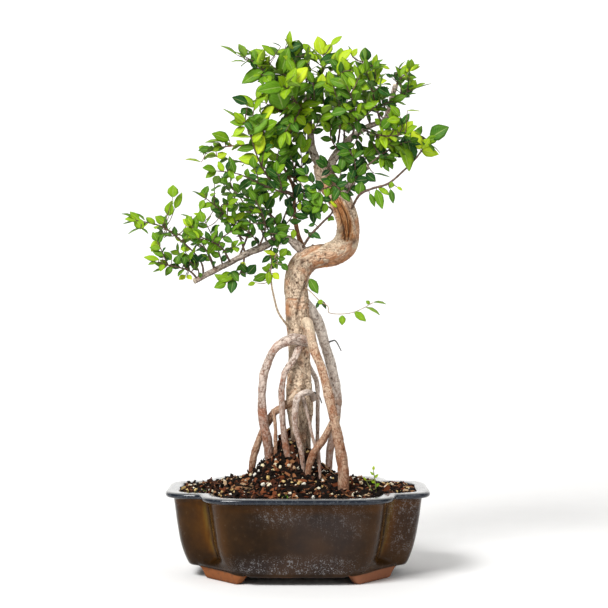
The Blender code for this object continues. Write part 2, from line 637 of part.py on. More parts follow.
def grow_shoot(name, parent, leaves, leaf_length, route, obstacles, twigs, luck):
    """One closed body: a square twig with leaves drawn out of its sides, left and right in turn.
    A leaf that has no room is turned or made smaller, or left out."""
    rows, node_rows = twig_rows(parent, route, leaves)
    tangents, across, up = frames_of(rows, (1, 0.15, 0.25))
    offsets = ((-1, -1), (1, -1), (1, 1), (-1, 1))
    points = [
        rows[k, :3] + (across[k] * a + up[k] * b) * rows[k, 3] * math.sqrt(0.5)
        for k in range(len(rows)) for a, b in offsets
    ]
    taken = {}
    others = obstacles + [shape for other, shape in twigs.items() if other != name]
    scale = TREE_HEIGHT / ROUTES_HEIGHT
    for turn, k in enumerate(node_rows):
        right = turn % 2 == 0
        quad = (1, 2) if right else (3, 0)
        base = (rows[k, :3] + rows[k + 1, :3]) / 2
        side = across[k] if right else -across[k]
        base = base + side * rows[k, 3] * math.sqrt(0.5)
        size = leaf_length * MM * scale * luck.uniform(0.78, 1.15)
        lift = luck.uniform(-0.35, 0.2)
        for turned, share in (
            (0, 1), (0.5, 0.9), (-0.5, 0.9), (0.9, 0.75), (-0.9, 0.75), (0, 0.5), (0.6, 0.4)
        ):
            corners, tip = leaf_shape(base, tangents[k], side, up[k], size * share, lift + turned)
            test = leaf_test_shape(base, corners, tip)
            if not collides(*test, others):
                others = others + [obstacle(*test)]
                obstacles.append(others[-1])
                taken[(k, quad)] = (corners, tip)
                break
    faces = [(3, 2, 1, 0)]
    for k in range(len(rows) - 1):
        for i in range(4):
            j = (i + 1) % 4
            quad = (i, j)
            low_i, low_j, high_i, high_j = 4 * k + i, 4 * k + j, 4 * k + 4 + i, 4 * k + 4 + j
            if (k, quad) not in taken:
                faces.append((low_i, low_j, high_j, high_i))
                continue
            corners, tip = taken[(k, quad)]
            start = len(points)
            points += [corners[n] for n in ((0, 3, 2, 1) if i == 1 else (3, 0, 1, 2))] + [tip]
            base_ring = (low_i, low_j, high_j, high_i)
            for a in range(4):
                b = (a + 1) % 4
                faces.append((base_ring[a], base_ring[b], start + b, start + a))
                faces.append((start + a, start + b, start + 4))
    last = 4 * (len(rows) - 1)
    faces.append((last, last + 1, last + 2, last + 3))
    add_part(name, points, faces, "leaf", smooth=False)


def bare_twig(parent, leaves, route):
    """A shoot's twig, a little fatter than it is, for the other shoots' leaves to avoid."""
    rows, _ = twig_rows(parent, route, leaves)
    rows[:, 3] += 0.0005
    return obstacle(*tube(rows, 5))


# ---------------------------------------------------------------- the soil


def soil_height(x, y):
    """The heap's height: level near the rim, rising as 1 / (1 + d^2) towards its middle."""
    away = ((x - MOUND_CENTRE[0]) ** 2 + (y - MOUND_CENTRE[1]) ** 2) / MOUND_WIDTH**2
    return RIM - SOIL_BELOW_RIM + MOUND_HEIGHT / (1 + away)


def soil_heap(angles):
    """The soil's own shape: it fills the pot and rises to the heap."""
    side_heights = [z + (CLEARANCE if z == FLOOR_TOP else 0) for z in inner_heights()]
    rings = [outline(inner_inset(z) + SOIL_SIDE_GAP, z, angles) for z in side_heights]
    edge = outline(inner_inset(NECK_HEIGHT) + SOIL_SIDE_GAP, 0, angles)
    peak = np.array([*MOUND_CENTRE, 0])
    for share in (1, 0.75, 0.52, 0.35, 0.22, 0.1):
        ring = peak + (edge - peak) * share
        ring[:, 2] = soil_height(ring[:, 0], ring[:, 1])
        rings.append(ring)
    return bridge(rings, falling=True)


def make_soil(angles, buried):
    """The soil, with a socket for each buried root, stem and screen."""
    soil = add_part("soil", *soil_heap(angles), "soil")
    for name, rows, sides in buried:
        socket = add_helper(f"{name}_socket", *tube(rows, sides, grow=CLEARANCE * 1.5))
        combine(soil, socket, "DIFFERENCE")
    reach = (SCREEN_CELLS * SCREEN_PITCH + SCREEN_BAR) / 2 + 2 * CLEARANCE
    roof = FLOOR_TOP + SCREEN_THICKNESS + CLIP_WIRE + 4 * CLEARANCE
    for side in (-1, 1):
        x = side * DRAIN_HOLE_SPACING / 2
        corners = [(x - reach, -reach), (x + reach, -reach), (x + reach, reach), (x - reach, reach)]
        rings = [np.array([(*corner, z) for corner in corners]) for z in (0, roof)]
        combine(soil, add_helper(f"screen_socket_{side}", *bridge(rings)), "DIFFERENCE")
    return soil


def stand_on_origin(root):
    """Moves the root so that the middle of the footprint is at the origin."""
    bpy.context.view_layer.update()
    graph = bpy.context.evaluated_depsgraph_get()
    low, high = np.full(3, np.inf), np.full(3, -np.inf)
    for part in root.children:
        if part.hide_render:
            continue
        box = part.evaluated_get(graph).bound_box
        corners = np.array([part.matrix_world @ Vector(corner) for corner in box])
        low, high = np.minimum(low, corners.min(axis=0)), np.maximum(high, corners.max(axis=0))
    middle = (low + high) / 2
    root.location = (-middle[0], -middle[1], -low[2])


def main():
    for old in list(bpy.data.objects):
        bpy.data.objects.remove(old)
    root = bpy.data.objects.new("root", None)
    bpy.context.collection.objects.link(root)

    angles = even_angles(OUTLINE_POINTS)
    make_pot(angles)
    for name, side in (("left", -1), ("right", 1)):
        x = side * DRAIN_HOLE_SPACING / 2
        make_screen(f"drain_screen_{name}", x)
        make_clip(f"screen_clip_{name}", x)

    trunk = np.array(TRUNK, float)
    trunk[:, 3] *= TRUNK_GIRTH
    limbs, rings = {}, {}
    limbs["trunk"], rings["trunk"] = make_limb("trunk", None, trunk, 10, 0.0105, "bark")
    buried = [("trunk", rings["trunk"], 10)]
    for name, (parent, route) in ROOTS.items():
        limbs[name], rings[name] = make_limb(name, limbs[parent], route, 7, 0.011, "root")
        buried.append((name, rings[name], 7))
    for name, (parent, route) in BRANCHES.items():
        finish = "red_bark" if name == "red_branch" else "bark"
        limbs[name], rings[name] = make_limb(name, limbs[parent], route, 7, 0.012, finish)
    limbs["soil"] = np.array([[0, 0, -1, 0.0]])

    obstacles = [obstacle(*tube(rows, 8, grow=0.0005)) for rows in rings.values()]
    obstacles += [obstacle(*pot_body(angles)), obstacle(*soil_heap(angles))]
    twigs = {
        name: bare_twig(limbs[parent], leaves, route)
        for name, (parent, leaves, _, route) in SHOOTS.items()
    }
    luck = np.random.default_rng(11)
    for name, (parent, leaves, leaf_length, route) in SHOOTS.items():
        grow_shoot(name, limbs[parent], leaves, leaf_length, route, obstacles, twigs, luck)
    seedling = SHOOTS["weed_seedling"]
    rows, _ = twig_rows(limbs["soil"], seedling[3], seedling[1])
    buried.append(("weed_seedling", rows, 6))
    make_soil(angles, buried)
    stand_on_origin(root)


main()
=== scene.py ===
"""An exposed-root elm bonsai in a glazed four-lobed pot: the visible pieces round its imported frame.

Lengths are in metres. Routes are in millimetres about the middle of the pot's rim, with X along the
pot, Y to the back and Z up, and a route's rows hold x, y, z and, where it has one, a radius.
"""
import math
from itertools import combinations

import bpy
import numpy as np
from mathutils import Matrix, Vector


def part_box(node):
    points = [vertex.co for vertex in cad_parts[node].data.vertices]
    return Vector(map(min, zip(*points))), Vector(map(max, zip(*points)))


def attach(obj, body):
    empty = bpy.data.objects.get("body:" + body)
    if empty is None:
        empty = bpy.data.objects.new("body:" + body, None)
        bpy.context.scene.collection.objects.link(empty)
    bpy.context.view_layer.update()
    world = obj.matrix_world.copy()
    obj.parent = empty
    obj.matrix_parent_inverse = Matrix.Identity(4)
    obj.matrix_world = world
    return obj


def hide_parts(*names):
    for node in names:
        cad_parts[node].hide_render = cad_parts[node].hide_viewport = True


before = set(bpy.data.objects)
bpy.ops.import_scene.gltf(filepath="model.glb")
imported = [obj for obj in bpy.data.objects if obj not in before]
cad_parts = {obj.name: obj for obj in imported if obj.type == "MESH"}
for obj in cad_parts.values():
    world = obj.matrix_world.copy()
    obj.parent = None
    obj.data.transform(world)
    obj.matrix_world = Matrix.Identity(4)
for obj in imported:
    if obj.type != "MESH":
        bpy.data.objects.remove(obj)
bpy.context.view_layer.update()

bl_info = {
    "name": "Bonsai in a lobed pot",
    "version": (1, 0, 0),
    "blender": (4, 5, 0),
    "location": "3D View > Sidebar > Bonsai",
    "description": "Builds the visible pieces of an exposed-root bonsai round its packed frame",
    "category": "Object",
}

POT_LOW, POT_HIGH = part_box("pot")
MIDDLE_X = (POT_LOW.x + POT_HIGH.x) / 2
RIM = POT_HIGH.z
MM = 0.001

# The pot's sizes
POT_LENGTH = POT_HIGH.x - POT_LOW.x
POT_DEPTH = POT_HIGH.y - POT_LOW.y
FRONT_LOBE_LENGTH = 0.152
END_LOBE_DEPTH = 0.098
CORNER_POWER = 6
NOTCH_SOFTNESS = 0.005
BASE_NOTCH_SOFTNESS = 0.013
BASE_INSET = 0.0182
FOOT_HEIGHT = 0.0095
FOOT_RISE = 0.009
FOOT_ANGLES = (17.5, 20.5, 49.0, 57.5)  # where a foot begins, stands, stops standing and ends
FOOT_LINE_ANGLES = (19.5, 47.8)  # the two corners that a foot bridges
DRAIN_HOLE_RADIUS = 0.009
DRAIN_HOLE_SPACING = 0.090
SOIL_BELOW_RIM = 0.0045
SOIL_INSET = 0.0117
MOUND = (-0.005, 0.004, 0.021, 0.0495)  # x, y, width and height of the heap of soil

TRUNK = (
    (2, 0, 15, 6.4), (2, 0, 34, 7.2), (2, 0, 54, 8.3), (1.5, 0, 74, 9.4), (1.2, 0, 94, 9.2),
    (1, 0, 115, 9.2), (0, 0, 135, 9.9), (-0.6, 0, 151, 10.2), (-1.6, 0, 163, 9.9),
    (1, 0, 176, 10), (8, 0, 184, 9.7), (19, -2, 187, 9.3), (30, -4, 189, 9.3),
    (38, -4, 196, 9.3), (41, -2, 206, 8.1), (40, 1, 219, 8.3), (33, 3, 235, 8.1),
    (25, 2, 246, 7.9), (20, 1, 255, 6.2), (17, 0, 262, 4.5),
)
ROOTS = {  # name: (bark, its route)
    "root_1": ("pink_root", (
        (9, 0, 116, 4.6), (4, -7, 118.5, 4.7), (-4, -12, 120, 4.3), (-13, -14, 116.5, 3.6),
        (-19, -12, 111, 3.2), (-24, -8, 101, 3.2), (-28, -5, 88, 3.2), (-29, -3, 70, 3.2),
        (-28, -2, 54, 3.4), (-25, -2, 38, 3.6), (-23, 0, 23, 3.6), (-22, 0, 12, 3.2))),
    "root_2": ("brown_root", (
        (5, -4, 130, 3.2), (7, -10, 134, 3.7), (9, -14.5, 130, 3.7), (13, -18.5, 112, 3.3),
        (19, -22, 97, 3.2), (24, -26, 77, 3.4), (29, -30, 55, 3.6), (33, -34, 35, 4.1),
        (36, -37, 16, 4.3), (36, -38, -10, 4.0))),
    "root_3": ("pale_root", (
        (5, 2, 149, 4.8), (11, 7, 142, 4.6), (16, 12, 133, 4.4), (21, 17, 118, 4.1),
        (27, 20, 99, 3.9), (31.5, 22, 78, 3.7), (32, 23, 62, 3.4), (30, 22, 44, 3.1),
        (26, 20, 26, 2.8), (25, 18, -2, 2.4))),
    "root_4": ("brown_root", (
        (31, -30, 60, 2.8), (26, -29, 51, 2.8), (20, -28, 40, 2.8), (13, -25.5, 30, 2.8),
        (9, -24, 19, 2.7), (7, -24, 7, 2.6))),
    "root_5": ("pink_root", (
        (4, -4, 116, 2.6), (1, -8, 113, 2.6), (-3, -13, 104, 2.6), (-10, -13, 94, 2.4),
        (-13, -11, 81, 2.3), (-13, -11, 67, 2.3), (-12, -11, 51, 2.4), (-10, -11, 36, 2.5),
        (-7, -12, 18, 2.5), (-6, -12, 5, 2.4))),
    "root_6": ("pale_root", (
        (13, -3, 71, 2.2), (11, -9, 76, 2.4), (6, -15, 77, 2.5), (0, -17, 73, 2.5),
        (-2, -17, 64, 2.4), (-2, -17, 49, 2.1), (2, -18, 33, 1.9), (4, -19, 20, 1.8),
        (5, -19, 6, 1.7))),
    "root_7": ("pale_root", (
        (3, -6, 76, 1.3), (6, -11, 66, 1.3), (9, -15, 55, 1.3), (11, -16, 45, 1.25),
        (14, -19, 34, 1.2), (17, -22, 21, 1.2), (18, -23, 6, 1.1))),
    "root_8": ("pale_root", (
        (5, 2, 104, 1.9), (11, 6, 94, 1.8), (15, 9, 85, 1.7), (16, 9, 75, 1.6),
        (16, 9, 60, 1.6), (16, 9, 47, 1.5), (16, 9, 35, 1.5), (17, 9, 19, 1.5))),
    "root_9": ("brown_root", (
        (5, -4, 84, 3), (-1, -6, 76, 3), (-7, -5, 69, 2.9), (-13, -3, 64, 2.9),
        (-20, 3, 59, 2.8), (-28, 7, 45, 2.8), (-33, 9, 33, 2.8), (-37, 10, 18, 2.8),
        (-38, 10, 2, 2.6))),
    "root_10": ("brown_root", (
        (-20, 3, 62, 1.6), (-19, -2, 56, 1.5), (-18, -6, 47, 1.5), (-18, -7, 38, 1.5),
        (-18, -7, 25, 1.5), (-18, -7, 9, 1.5))),
}
BRANCHES = {  # name: (bark, its route)
    "lower_left_branch": ("branch_bark", (
        (9, 0, 184, 4.5), (4, -3, 190, 3.7), (-1, -6, 195, 3.2), (-7, -8, 200, 3),
        (-15, -9, 201, 2.9), (-26, -10, 195, 2.9), (-40, -11, 189, 2.6), (-55, -11, 181, 2.4),
        (-67, -10, 175, 2.2), (-82, -9, 167, 1.9), (-83.5, -9, 166.2, 1.7))),
    "red_branch": ("red_bark", (
        (9, 0, 184, 2.6), (6, 3, 190, 2.2), (1, 8, 202, 1.8), (-2, 8, 215, 1.7),
        (-3, 7, 226, 1.6), (-3, 7, 236, 1.5), (-4, 7, 244, 1.4), (-8, 6, 252, 1.2),
        (-12, 5, 260, 1.1), (-13, 4, 267, 1))),
    "leader": ("branch_bark", (
        (26, 2, 244, 5), (21, 1, 254, 4.4), (15, 0, 265, 3.3), (11, -1, 275, 2.9),
        (10, -1, 287, 2.5), (9, 1, 299, 2), (6, 3, 313, 1.6), (2, 4, 325, 1.3))),
    "right_branch": ("branch_bark", (
        (21, 3, 240, 5), (22, 4, 250, 4.3), (30, 5, 268, 3.4), (42, 6, 282, 2.7),
        (50, 6, 288, 2.4), (59, 4, 293, 2.3), (70, 2, 297, 2.1), (74, 1, 306, 1.9),
        (76, 0, 315, 1.9), (79, 0, 325, 1.8), (79.3, 0, 326, 1.5))),
    "low_right_branch": ("branch_bark", (
        (33, 3, 228, 4.2), (36, 1, 235, 3.6), (42, -5, 244, 3), (48, -9, 253, 2.8),
        (55, -11, 258, 2.5), (56, -11.2, 258.8, 2.1))),
}

# name: (leaf length, age from 0 old to 1 young, how many side twigs, x, y and z of its route)
SHOOTS = {
    "lower_left_shoot_1": (8.2, 0.55, 2, (
        (-76, -9, 170), (-77, -12, 180), (-84, -16, 190), (-96, -21, 201), (-107, -26, 209),
        (-117, -30, 212), (-127, -33, 214))),
    "lower_left_shoot_2": (8.5, 0.45, 2, (
        (-80, -9, 167), (-86, -14, 174), (-94, -21, 177), (-104, -27, 179), (-111, -31, 181))),
    "lower_left_shoot_3": (8, 0.4, 2, (
        (-66, -10, 175), (-75, 6, 192), (-89, 22, 201), (-104, 34, 208), (-114, 40, 211))),
    "lower_left_shoot_4": (9, 0.45, 5, (
        (-42, -11, 188), (-48, -20, 205), (-60, -28, 221), (-72, -34, 231))),
    "lower_left_shoot_5": (9.5, 0.3, 4, (
        (-47, -11, 186), (-40, 4, 207), (-40, 8, 220), (-48, 14, 236), (-59, 18, 247))),
    "lower_left_shoot_6": (9, 0.35, 4, (
        (-32, -10, 192), (-26, -24, 207), (-28, -36, 219), (-33, -44, 229))),
    "lower_left_shoot_7": (9, 0.45, 0, (
        (-43, -11, 187), (-44, -16, 178), (-48, -22, 170), (-57, -26, 165))),
    "lower_left_shoot_8": (9.5, 0.45, 4, (
        (-54, -11, 181), (-60, -28, 192), (-70, -42, 198), (-81, -52, 202))),
    "lower_left_shoot_9": (9.5, 0.25, 5, (
        (-24, -10, 196), (-31, 14, 210), (-43, 34, 225), (-56, 48, 234))),
    "left_shoot_1": (11, 0.3, 1, (
        (-15, -9, 200), (-14, -7, 209), (-10, -4, 221), (-7, -2, 230), (-11, 10, 239),
        (-18, 20, 249), (-28, 28, 257))),
    "left_shoot_2": (12.5, 0.6, 2, (
        (-4, 7, 238), (-14, -6, 241), (-22, -14, 247), (-29, -20, 258), (-34, -24, 270),
        (-37, -27, 280), (-42, -30, 291))),
    "left_shoot_3": (13, 0.5, 4, (
        (-13, 4, 263), (-11, -3, 276), (-10, -6, 289), (-10, -8, 301), (-14, -12, 314))),
    "left_shoot_4": (12.5, 0.3, 6, (
        (-4, 7, 243), (-2, 9, 259), (-1, 11, 277), (-2, 15, 294), (-7, 20, 309),
        (-16, 26, 323), (-25, 30, 335))),
    "left_shoot_5": (8, 0.4, 0, (
        (-7, 6, 251), (-23, 28, 259), (-40, 40, 265), (-59, 48, 270), (-75, 52, 274))),
    "left_shoot_6": (10, 0.4, 4, (
        (-3, 7, 233), (-6, -8, 236), (-16, -24, 238), (-31, -40, 243), (-46, -50, 249),
        (-63, -56, 251))),
    "left_shoot_7": (8, 0.5, 0, (
        (-10, 5.5, 256), (-24, 4, 272), (-39, 8, 277), (-57, 12, 277), (-75, 14, 274))),
    "left_shoot_8": (12.5, 0.5, 4, (
        (9, 1, 299), (-6, -4, 315), (-21, -8, 328), (-34, -12, 341), (-42, -14, 346))),
    "apex_shoot_1": (12, 0.55, 2, (
        (4, 3.5, 319), (-1, -3, 337), (-4, -4, 348), (-6, -6, 356))),
    "apex_shoot_2": (16, 0.6, 2, (
        (9, 0, 295), (2, -20, 304), (-5, -34, 312), (-11, -42, 319))),
    "apex_shoot_3": (13, 0.6, 4, (
        (7, 2, 309), (15, 8, 326), (20, 12, 343), (21, 14, 352))),
    "apex_shoot_4": (12, 0.3, 4, (
        (4, 4, 318), (7, 26, 332), (2, 42, 344), (-6, 50, 352))),
    "right_shoot_1": (12.5, 0.5, 5, (
        (31, 5, 271), (34, 0, 291), (33, -4, 312), (32, -8, 327), (33, -10, 342))),
    "right_shoot_2": (12.5, 0.5, 5, (
        (44, 6, 283), (46, -22, 296), (43, -38, 308), (38, -48, 318))),
    "right_shoot_3": (11.5, 0.4, 5, (
        (59, 4, 293), (56, 14, 310), (53, 20, 328), (51, 22, 340), (53, 22, 348))),
    "right_shoot_4": (11.5, 0.4, 4, (
        (67, 2, 296), (62, -20, 307), (58, -32, 319), (54, -38, 330))),
    "right_shoot_5": (10.5, 0.5, 1, (
        (79, 0, 322), (81, -2, 328), (85, -5, 332), (89, -7, 335))),
    "right_shoot_6": (10.5, 0.5, 2, (
        (75, 0, 312), (80, -8, 315), (86, -13, 317), (92, -15, 320))),
    "right_shoot_7": (8.5, 0.4, 0, (
        (72, 2, 303), (69, 22, 318), (69, 36, 330), (70, 42, 338))),
    "right_shoot_8": (11.5, 0.25, 6, (
        (37, 6, 276), (38, 26, 292), (33, 46, 309), (27, 56, 320))),
    "right_shoot_9": (11.5, 0.5, 5, (
        (53, 5, 290), (62, -22, 283), (73, -36, 280), (84, -44, 281))),
    "low_right_shoot_1": (10, 0.3, 4, (
        (53, -11, 257), (61, -14, 263), (72, -14, 271), (84, -12, 277), (94, -10, 282))),
    "low_right_shoot_2": (10.5, 0.25, 6, (
        (48, -9, 253), (56, 14, 268), (68, 32, 277), (80, 44, 284))),
    "fork_shoot": (10.5, 0.3, 3, (
        (36, 2, 234), (31, -22, 242), (24, -34, 240), (16, -40, 236))),
    "long_right_shoot": (14, 0.6, 0, (
        (42, -1, 222), (49, -14, 235), (59, -19, 240), (72, -20, 244), (84, -20, 254),
        (93, -19, 263), (100, -17, 272), (105.7, -16, 280.8))),
    "bend_shoot": (9, 0.2, 0, (
        (2, -5, 191), (10, -12, 203), (19, -16, 212.5), (27.5, -18, 221.5), (23, -26, 226),
        (18, -32, 228))),
    "left_sucker": (9, 0.5, 0, (
        (-4, -3, 125), (-11, -13, 134), (-16, -14, 142), (-19, -15, 153), (-21, -15, 163),
        (-22, -15, 174), (-20, -15, 180), (-17, -13, 190), (-14, -10, 199))),
    "right_sucker": (9, 0.5, 0, (
        (2, -2, 164), (10, -10, 158), (17, -12, 151), (24, -14, 146), (25, -14, 141),
        (35, -14, 140), (45, -13, 141.5), (54, -12, 145.5), (58, -11, 148))),
}

